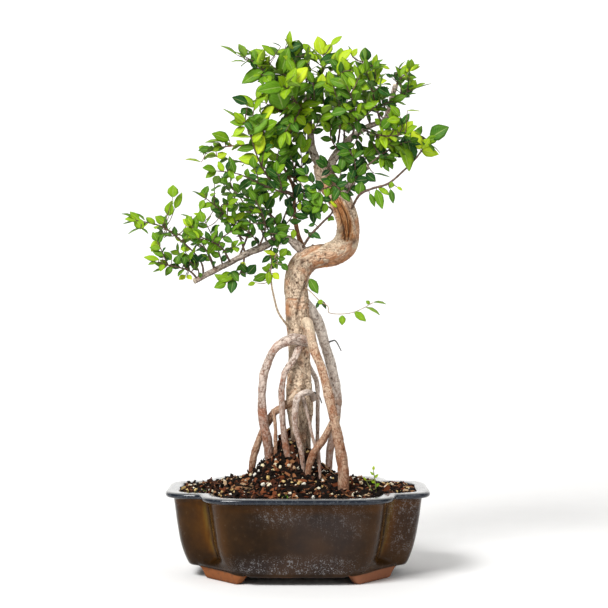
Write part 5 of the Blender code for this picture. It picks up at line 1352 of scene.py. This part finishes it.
    # small round pits
    pits = sum(stroke((at,), 0.75) for at in (
        (-5.6, 175.3), (-0.7, 176.1), (-2.3, 171.3), (-4.7, 168.1), (3.3, 178.5), (5.7, 165.7),
        (-7.2, 160.8), (8, 183), (14, 186.5), (18, 184), (22, 188), (-1, 165), (-3.4, 157),
        (-6, 146), (2, 119), (-4, 127), (-7.5, 118), (5.2, 112), (7.5, 104), (6.8, 99), (-6, 95)))
    relief = relief - 0.0010 * pits
    marks["dark"] += 0.9 * pits
    place = place + outward * (relief * settings.bark_depth)[..., None]
    points, faces = closed_tube(place)
    marks = {name: with_ends(np.clip(values, 0, 1)) for name, values in marks.items()}
    marks["limb"] = with_ends(straight)
    make_piece("trunk_bark", points, faces, [bark("trunk_bark")], marks, ("trunk",))


def build_limb(name, kind, route, seed, settings, around, cut_end=False):
    """A root or a branch: a round skin along its route, swollen where it leaves its parent,
    lumpy, with plates of bark, dark pits and, on a sawn branch, a pale end."""
    rows = in_place(route)
    length = walked(rows)[-1]
    rows = smooth(rows, int(length / LIMB_ROW_GAP))
    centres, outward, straight = carried(rows, around)
    radius = rows[:, None, 3] * np.ones((1, around))
    thick = radius / 0.0035
    share = straight[..., 2] / length
    nodes = np.sin(2 * math.pi * (straight[..., 2] / 0.019 + rough(straight, 0.02, seed)))
    relief = bark_relief(straight, 0.0034, seed) * np.minimum(thick, 1.0) * 0.85
    relief = relief + 0.035 * radius * nodes + 0.10 * radius * rugged(straight, 0.009, seed + 5, 2)
    turn = np.arctan2(straight[..., 1], straight[..., 0])
    relief = relief + 0.05 * radius * np.sin(3 * turn + 60 * straight[..., 2] + seed)
    wrinkle = np.sin(2 * math.pi * straight[..., 2] / 0.0017 + 3 * rough(straight, 0.004, seed + 9))
    relief = relief + 0.00007 * wrinkle * ramp(rough(straight, 0.008, seed + 2), 0.0, 0.5)
    marks = limb_marks(relief.shape)
    spots, _, value = plates(straight, (0.0042, 0.0042, 0.0060), seed + 31)
    pits = ramp(-spots, -0.26, -0.10) * (value > 0.72)
    relief = relief - 0.0005 * pits * np.minimum(thick, 1)
    marks["dark"] += 0.75 * pits
    if kind == "brown_root":
        start = ramp(-share, -0.25, -0.08)
        marks["pale"] += 0.6 * start * ramp(rough(straight, 0.006, seed), -0.3, 0.3)
    # painted shade: a branch darker on the faces that look down
    if kind == "branch_bark":
        marks["dark"] += 0.55 * ramp(-outward[..., 2], 0.35, 0.95)
    if cut_end:
        marks["pale"] += ramp(share, 0.985, 0.995)
    place = centres + outward * (radius + relief * settings.bark_depth)[..., None]
    points, faces = closed_tube(place)
    marks = {mark: with_ends(np.clip(values, 0, 1)) for mark, values in marks.items()}
    marks["limb"] = with_ends(straight)
    make_piece(f"{name}_bark", points, faces, [bark(kind)], marks, (name,))


# ---------------------------------------------------------------- leaves and twigs

LEAF_ROWS = 9
LEAF_COLUMNS = 5
LEAF_THICKNESS = 0.00022
BARE_SHOOTS = {  # leaves only where a table sets them: (radius at the foot, at the tip), in mm
    "left_sucker": (0.95, 0.55), "right_sucker": (0.5, 0.32), "bend_shoot": (1.25, 0.5),
    "long_right_shoot": (1.1, 0.6)}


def leaf_template():
    """One leaf of length 1 as a closed shell: its lower side's inner points follow its upper
    side's, and both share the edge. Half its width is sin(pi v^0.86)^0.85 along it, with every
    other row drawn in, which makes the teeth."""
    v = np.array([0, 0.07, 0.19, 0.34, 0.50, 0.66, 0.81, 0.93, 1])
    half = np.sin(math.pi * v**0.86) ** 0.85
    half = np.maximum(half, 0.03) * np.where(np.arange(LEAF_ROWS) % 2, 1.035, 0.97)
    u = np.linspace(-1, 1, LEAF_COLUMNS)
    grid = np.arange(LEAF_ROWS * LEAF_COLUMNS).reshape(LEAF_ROWS, LEAF_COLUMNS)
    lower = grid.copy()
    inner = grid[1:-1, 1:-1]
    lower[1:-1, 1:-1] = grid.size + np.arange(inner.size).reshape(inner.shape)
    faces = []
    for sheet, turn in ((grid, 1), (lower, -1)):
        quads = np.stack([sheet[:-1, :-1], sheet[:-1, 1:], sheet[1:, 1:], sheet[1:, :-1]], axis=2)
        faces.append(quads.reshape(-1, 4)[:, ::turn])
    across = np.broadcast_to(u, grid.shape).ravel()
    along = np.repeat(v, LEAF_COLUMNS)
    wide = np.repeat(half, LEAF_COLUMNS) * across
    picked = np.concatenate([np.arange(grid.size), inner.ravel()])
    below = np.concatenate([np.zeros(grid.size), np.ones(inner.size)])
    return wide[picked], along[picked], across[picked], below, np.concatenate(faces)


def leaf_points(bases, tips, normals, widths, folds, bends):
    """Leaves from their bases to their tips: across by the half width, up by fold times the
    distance from the midrib, and down at the tip by bend times the square of the way along."""
    wide, along, across, below, faces = leaf_template()
    ahead = tips - bases
    length = np.linalg.norm(ahead, axis=1)[:, None, None]
    ahead = unit(ahead)
    normals = unit(normals - ahead * (normals * ahead).sum(axis=1, keepdims=True))
    side = np.cross(ahead, normals)
    u = wide[None, :, None] * widths[:, None, None]
    v = along[None, :, None]
    rise = folds[:, None, None] * np.abs(u) - bends[:, None, None] * (v - 0.3) ** 2
    rise = rise + 0.035 * np.sin(v * 15 + 40 * bends[:, None, None]) * np.abs(u)
    points = bases[:, None] + length * (ahead[:, None] * v + side[:, None] * u
                                        + normals[:, None] * rise)
    points = points - normals[:, None] * (below * LEAF_THICKNESS)[None, :, None]
    blade = np.broadcast_to(np.stack([across, along, below], axis=1), points.shape)
    count = len(wide)
    blocks = (faces[None] + np.arange(len(bases))[:, None, None] * count).reshape(-1, 4)
    return points.reshape(-1, 3), blade.reshape(-1, 3), blocks, count


def outward_from_crown(place):
    """Which way a leaf at a place turns its face: away from the middle of its part of the crown,
    up, and a little to the front."""
    spot = on_route(place)
    if spot[2] < 160 and spot[0] > 0:
        return np.array([0.3, -0.8, 0.55])
    middle = np.array([-45, -5, 195]) if spot[0] < -20 and spot[2] < 245 else np.array([20, 5, 290])
    away = unit((spot - middle) * np.array([0.7, 1.5, 0.8]))
    return unit(0.85 * away + np.array([0, -0.42, 0.55]))


class Shoot:
    """A leafy shoot as it grows: its twigs as rows, and its leaves."""

    def __init__(self, luck):
        self.luck = luck
        self.twigs, self.leaves = [], []

    def twig(self, rows):
        """Keeps a twig's rows of x, y, z and radius."""
        self.twigs.append(rows)
        return rows

    def leaf(self, base, direction, length, width, age, normal=None):
        """A leaf from its base along a direction, with its fold and bend left to chance."""
        luck = self.luck
        if normal is None:
            normal = outward_from_crown(base) + luck.normal(0, 0.33, 3)
        self.leaves.append((base, base + direction * length, normal, width,
                            luck.uniform(0.05, 0.4), luck.uniform(-0.05, 0.3), age))

    def leaves_along(self, rows, start, gap, size, age):
        """Leaves in turn at the twig's left and right, from a share of its length to its tip,
        smaller near its foot, and one at the tip."""
        luck, length = self.luck, walked(rows)
        tangents = unit(np.gradient(rows[:, :3], axis=0))
        places = np.arange(start * length[-1], length[-1], gap)
        for k, at in enumerate(places):
            at = at + luck.uniform(-0.25, 0.25) * gap
            base = np.array([np.interp(at, length, rows[:, c]) for c in range(3)])
            tangent = tangents[np.searchsorted(length, min(at, length[-1]))]
            normal = outward_from_crown(base) + luck.normal(0, 0.3, 3)
            side = unit(np.cross(normal, tangent)) * (1 if k % 2 else -1)
            spread = luck.uniform(0.6, 1.15)
            direction = unit(tangent * math.cos(spread) + side * math.sin(spread)
                             + np.array([0, 0, luck.uniform(-0.3, 0.12)]))
            grown = 0.62 + 0.45 * min(1.0, at / length[-1] * 1.3)
            self.leaf(base, direction, size * grown * luck.uniform(0.7, 1.15) * MM,
                      luck.uniform(0.24, 0.33), age + luck.uniform(-0.24, 0.27)
                      + 0.22 * (at / length[-1] - 0.6), normal)
        self.leaf(rows[-1, :3], unit(tangents[-1] + luck.normal(0, 0.25, 3)),
                  size * luck.uniform(0.75, 1.1) * MM, luck.uniform(0.27, 0.36), age + 0.12)

    def side_twig(self, rows, at, reach, size, age):
        """A curved twig from a share of its parent's length, with leaves along it."""
        luck = self.luck
        row = rows[int(at * (len(rows) - 1))]
        tangent = unit(np.gradient(rows[:, :3], axis=0))[int(at * (len(rows) - 1))]
        away = outward_from_crown(row[:3]) + luck.normal(0, 0.75, 3)
        away = unit(away - tangent * (away @ tangent))
        direction = unit(0.75 * tangent + 0.95 * away)
        turn = unit(direction + 0.5 * luck.normal(0, 1, 3) + np.array([0, 0, 0.25]))
        points = [row[:3], row[:3] + direction * reach * 0.5 * MM,
                  row[:3] + (direction * 0.55 + turn * 0.5) * reach * MM]
        radii = [min(row[3], 0.0006), 0.00045, 0.00032]
        made = self.twig(smooth(np.column_stack([points, radii]), 12))
        self.leaves_along(made, 0.15, 3.9 * MM, size, age)

    def set_leaf(self, main, x0, z0, x1, z1, width, age):
        """A leaf placed at given points, on a fine stalk from the nearest point of the main twig."""
        luck = self.luck
        y_of = main[:, 1]
        flat = main[:, [0, 2]]
        base = in_place([(x0, 0, z0)])[0]
        nearest = int(np.argmin(np.hypot(*(flat - base[[0, 2]]).T)))
        away = np.hypot(*(flat[nearest] - base[[0, 2]]))
        base[1] = y_of[nearest] - 0.35 * away * luck.uniform(0.2, 1)
        tip = in_place([(x1, 0, z1)])[0]
        reach = np.hypot(x1 - x0, z1 - z0) * MM
        tip[1] = base[1] + reach * luck.uniform(-0.35, 0.1)
        edge_on = width < 0.2
        normal = np.array([0.1, -0.25, 1.0]) if edge_on else np.array(
            [luck.uniform(-0.3, 0.3), -1.0, luck.uniform(0.1, 0.6)])
        full = 0.3 if edge_on else width
        self.leaves.append((base, tip, normal, full, luck.uniform(0.1, 0.35),
                            luck.uniform(0.0, 0.25), age))
        if away > 0.0012:
            start = main[nearest, :3]
            bow = (start + base) / 2 + np.array([0, 0, -0.12 * away])
            radii = [0.00042, 0.00038, 0.00030]
            self.twig(smooth(np.column_stack([[start, bow, base], radii]), 8))


def twig_skins(twigs, around, knotty=0.0):
    """Each twig as a closed skin, swollen by knotty * sin(1.9 k) at its row k."""
    shapes, faces, total = [], [], 0
    for rows in twigs:
        centres, outward, _ = carried(rows, around)
        knots = 1 + knotty * np.sin(np.arange(len(rows)) * 1.9)
        tube, blocks = closed_tube(centres + outward * (rows[:, 3] * knots)[:, None, None])
        shapes.append(tube)
        faces += [block + total for block in blocks]
        total += len(tube)
    return np.concatenate(shapes), faces


def make_plant(node, shoot, wood, knotty=0.0):
    """One piece of a shoot's twigs and leaves, with the leaves' ages and blades as its marks."""
    skins, faces = twig_skins(shoot.twigs, 6, knotty)
    columns = [np.array(column, float) for column in zip(*shoot.leaves)]
    leafy, blade, blocks, each = leaf_points(*columns[:6])
    ages = np.repeat(np.clip(columns[6], 0, 1), each)
    marks = {"age": np.concatenate([np.zeros(len(skins)), ages]),
             "blade": np.concatenate([np.zeros((len(skins), 3)), blade])}
    woody = sum(len(block) for block in faces)
    make_piece(f"{node}_leaves", np.concatenate([skins, leafy]), [*faces, blocks + len(skins)],
               [twig_wood(wood), leaf_blade()], marks, (node,),
               np.repeat([0, 1], [woody, len(blocks)]))


def thick_twig(points, radii, rows):
    """A twig's rows through points in metres, with radii in millimetres at them."""
    return smooth(np.column_stack([points, np.array(radii) * MM]), rows)


def build_shoot(name, settings, luck):
    """One shoot as one piece: its twigs as six-sided skins and its leaves as thin shells."""
    size, age, sides, route = SHOOTS[name]
    size = size * settings.leaf_size
    shoot = Shoot(luck)
    points = in_place(route)
    foot, tip = BARE_SHOOTS.get(name, (0.95, 0.42))
    main = shoot.twig(thick_twig(points, np.linspace(foot, tip, len(points)), 60))
    if name not in BARE_SHOOTS:
        shoot.leaves_along(main, 0.28, 5.2 * MM, size, age)
        for k in range(sides):
            at = 0.25 + 0.68 * (k + luck.uniform(0.1, 0.9)) / sides
            shoot.side_twig(main, at, luck.uniform(10, 22), size * 0.86, age - 0.05)
    for length, old, twig in TWIGS.get(name, ()):
        made = in_place(twig)
        made = shoot.twig(thick_twig(made, np.linspace(0.65, 0.33, len(made)), 16))
        shoot.leaves_along(made, 0.12, 4.2 * MM, length * settings.leaf_size, old)
    for row in SET_LEAVES.get(name, ()):
        shoot.set_leaf(main, *row)
    wood = "red" if name in ("left_shoot_3", "left_shoot_4", "left_shoot_7") else "brown"
    make_plant(name, shoot, "pale" if "sucker" in name else wood, 0.12)


def build_dead_twig():
    """The leafless twig that sticks out behind the roots, and the snag under it."""
    twigs = [thick_twig(in_place(route), np.linspace(0.8, 0.45, len(route)), 24) for route in (
        ((24, 18, 116), (27.5, 17, 117.5), (31, 16, 117.5), (35.5, 15, 109.5)),
        ((13, 8, 76), (17, 9, 73), (19.5, 9, 67)))]
    points, faces = twig_skins(twigs, 8)
    make_piece("dead_twigs", points, faces, [twig_wood("grey")])


def build_seedling(luck):
    """The weed in the soil: a thin stem with small light leaves, and a blade of grass."""
    shoot = Shoot(luck)
    stem = in_place([(61, -33, -8), (61.6, -33, 0), (61, -34, 8), (59.5, -34, 17)])
    main = shoot.twig(thick_twig(stem, (0.6, 0.6, 0.5, 0.3), 20))
    blade = in_place([(61, -33, -3), (57, -34, 3), (54, -35, 9)])
    shoot.twig(thick_twig(blade, (0.4, 0.4, 0.2), 10))
    for row in ((61, 4, 64.5, 6.5, 0.3, 0.6), (61, 7, 57.5, 9, 0.3, 0.7),
                (60.5, 11, 63.5, 14, 0.25, 0.7), (60, 13, 57, 16, 0.22, 0.7),
                (59.5, 17, 60, 20.5, 0.3, 0.8), (54, 9, 51.5, 12, 0.2, 0.8)):
        shoot.set_leaf(main, *row)
    make_plant("weed_seedling", shoot, "green")


# ---------------------------------------------------------------- settings and operators


def colour_setting(name, default):
    """A colour that the panel shows."""
    return bpy.props.FloatVectorProperty(
        name=name, description="Linear colour", default=default, subtype="COLOR", min=0, max=1)


class BonsaiSettings(bpy.types.PropertyGroup):
    """The sizes and colours that a user would change."""

    hand_thrown: bpy.props.FloatProperty(
        name="Uneven wall", description="How far the pot's wall wanders", default=0.00022,
        min=0, max=0.002, unit="LENGTH", precision=5)
    chips: bpy.props.IntProperty(
        name="Bark chips", description="How many chips lie on the soil", default=5200, min=0)
    grains: bpy.props.IntProperty(
        name="Grains", description="How many grains of pumice lie on the soil", default=390, min=0)
    bark_depth: bpy.props.FloatProperty(
        name="Bark depth", description="Multiplies the relief of all bark", default=1.0, min=0,
        max=3)
    leaf_size: bpy.props.FloatProperty(
        name="Leaf size", description="Multiplies the length of the leaves", default=1.17,
        min=0.5, max=1.5)
    luck: bpy.props.IntProperty(
        name="Growth", description="The seed of everything that is left to chance", default=7)
    light: bpy.props.FloatProperty(
        name="Light", description="Power of the large soft light", default=40.0, min=0,
        unit="POWER")
    glaze_dark: colour_setting("Glaze, dark", (0.0150, 0.0068, 0.0022))
    glaze_light: colour_setting("Glaze, light", (0.039, 0.0165, 0.0034))
    amber: colour_setting("Thin glaze", (0.165, 0.058, 0.002))
    clay: colour_setting("Bare clay", (0.28, 0.105, 0.040))
    old_leaf: colour_setting("Old leaves", (0.005, 0.040, 0.011))
    young_leaf: colour_setting("Young leaves", (0.50, 0.63, 0.02))
    paper: colour_setting("Background", (0.90, 0.895, 0.885))


class BONSAI_OT_pot(bpy.types.Operator):
    """Make the glazed pot, cut its drain holes, and finish its screens and staples"""

    bl_idname = "bonsai.pot"
    bl_label = "Pot"

    def execute(self, context):
        build_pot(context.scene.bonsai)
        for node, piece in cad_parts.items():
            if node.startswith("drain_screen"):
                piece.material_slots[0].material = screen_plastic()
            elif node.startswith("screen_clip"):
                piece.material_slots[0].material = staple_wire()
        return {"FINISHED"}


class BONSAI_OT_soil(bpy.types.Operator):
    """Heap the soil and scatter bark chips, grains and moss on it"""

    bl_idname = "bonsai.soil"
    bl_label = "Soil"

    def execute(self, context):
        settings = context.scene.bonsai
        build_soil(settings, np.random.default_rng(settings.luck))
        return {"FINISHED"}


class BONSAI_OT_trunk(bpy.types.Operator):
    """Make the trunk with its bark, dead wood, ridge, creases and pits"""

    bl_idname = "bonsai.trunk"
    bl_label = "Trunk"

    def execute(self, context):
        build_trunk(context.scene.bonsai)
        return {"FINISHED"}


class BONSAI_OT_roots(bpy.types.Operator):
    """Make the exposed roots"""

    bl_idname = "bonsai.roots"
    bl_label = "Roots"

    def execute(self, context):
        for seed, (name, (kind, route)) in enumerate(ROOTS.items()):
            build_limb(name, kind, route, 100 + 40 * seed, context.scene.bonsai,
                       ROOT_COLUMNS)
        return {"FINISHED"}


class BONSAI_OT_branches(bpy.types.Operator):
    """Make the woody branches"""

    bl_idname = "bonsai.branches"
    bl_label = "Branches"

    def execute(self, context):
        for seed, (name, (kind, route)) in enumerate(BRANCHES.items()):
            cut = name in ("right_branch", "low_right_branch", "lower_left_branch")
            build_limb(name, kind, route, 700 + 40 * seed, context.scene.bonsai,
                       BRANCH_COLUMNS, cut)
        return {"FINISHED"}


class BONSAI_OT_shoots(bpy.types.Operator):
    """Grow the leafy shoots and the weed seedling"""

    bl_idname = "bonsai.shoots"
    bl_label = "Shoots"

    def execute(self, context):
        settings = context.scene.bonsai
        for k, name in enumerate(SHOOTS):
            build_shoot(name, settings, np.random.default_rng(settings.luck + 31 * k))
        build_seedling(np.random.default_rng(settings.luck))
        build_dead_twig()
        return {"FINISHED"}


WORLD_STRENGTH = 0.27
LIGHTS = (  # name, place, width, share of the set power, what it aims at
    ("key", (-0.75, -1.15, 1.35), 0.7, 1.0, (MIDDLE_X, 0, 0.22)),
    ("fill", (1.1, -0.9, 0.7), 1.1, 0.16, (MIDDLE_X, 0, 0.22)),
    ("backdrop", (0.0, 0.55, 1.5), 1.4, 0.32, (MIDDLE_X, 3.0, 0.22)))
FOCAL_LENGTH, SENSOR_WIDTH = 89.8, 36
CAMERA_PLACE = (MIDDLE_X + 0.0049, -1.229, 0.217)


def make_sweep():
    """The studio's paper: flat under the object, curving up behind it, 0.2 mm under the frame's
    floor so that the two never meet."""
    profile = [(-2.2, 0.0), (0.9, 0.0)]
    profile += [(0.9 + 0.6 * math.sin(t), 0.6 - 0.6 * math.cos(t))
                for t in np.linspace(0, math.pi / 2, 13)[1:]]
    profile.append((1.5, 3.2))
    points = [(x, y, z - 0.0002) for y, z in profile for x in (-3.0, 3.0)]
    faces = [(k, k + 1, k + 3, k + 2) for k in range(0, 2 * len(profile) - 2, 2)]
    mesh = bpy.data.meshes.new("studio_sweep")
    mesh.from_pydata(points, [], faces)
    mesh.materials.append(pale_paper())
    mesh.shade_smooth()
    sweep = bpy.data.objects.new("studio_sweep", mesh)
    bpy.context.scene.collection.objects.link(sweep)


class BONSAI_OT_stage(bpy.types.Operator):
    """Set up the pale sweep, the soft lights and the camera"""

    bl_idname = "bonsai.stage"
    bl_label = "Stage"

    def execute(self, context):
        scene = context.scene
        make_sweep()
        scene.world = scene.world or bpy.data.worlds.new("studio")
        scene.world.use_nodes = True
        sky = scene.world.node_tree.nodes["Background"].inputs
        sky["Color"].default_value = (1, 1, 1, 1)
        sky["Strength"].default_value = WORLD_STRENGTH
        for name, place, size, share, target in LIGHTS:
            lamp = bpy.data.lights.new(name, "AREA")
            lamp.energy, lamp.size = scene.bonsai.light * share, size
            light = bpy.data.objects.new(name, lamp)
            light.location = place
            aim = Vector(target) - light.location
            light.rotation_euler = aim.to_track_quat("-Z", "Y").to_euler()
            scene.collection.objects.link(light)
        lens = bpy.data.cameras.new("camera")
        lens.lens, lens.sensor_width = FOCAL_LENGTH, SENSOR_WIDTH
        camera = bpy.data.objects.new("camera", lens)
        camera.location = CAMERA_PLACE
        camera.rotation_euler = (math.pi / 2, 0, 0)
        scene.collection.objects.link(camera)
        scene.camera = camera
        scene.view_settings.view_transform = "Standard"
        return {"FINISHED"}


class BONSAI_PT_panel(bpy.types.Panel):
    """The settings and one button for each operator"""

    bl_label = "Bonsai"
    bl_idname = "BONSAI_PT_panel"
    bl_space_type = "VIEW_3D"
    bl_region_type = "UI"
    bl_category = "Bonsai"

    def draw(self, context):
        for name in BonsaiSettings.__annotations__:
            self.layout.prop(context.scene.bonsai, name)
        for operator in OPERATORS:
            self.layout.operator(operator.bl_idname)


OPERATORS = (BONSAI_OT_pot, BONSAI_OT_soil, BONSAI_OT_trunk, BONSAI_OT_roots,
             BONSAI_OT_branches, BONSAI_OT_shoots, BONSAI_OT_stage)


def register():
    """Adds the settings, operators and panel."""
    for cls in (BonsaiSettings, *OPERATORS, BONSAI_PT_panel):
        bpy.utils.register_class(cls)
    bpy.types.Scene.bonsai = bpy.props.PointerProperty(type=BonsaiSettings)


def unregister():
    """Takes them away again."""
    del bpy.types.Scene.bonsai
    for cls in (BONSAI_PT_panel, *reversed(OPERATORS), BonsaiSettings):
        bpy.utils.unregister_class(cls)


def main():
    """Runs every operator in turn."""
    register()
    for operator in OPERATORS:
        getattr(bpy.ops.bonsai, operator.bl_idname.split(".")[1])()
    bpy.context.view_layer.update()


if __name__ == "__main__":
    main()
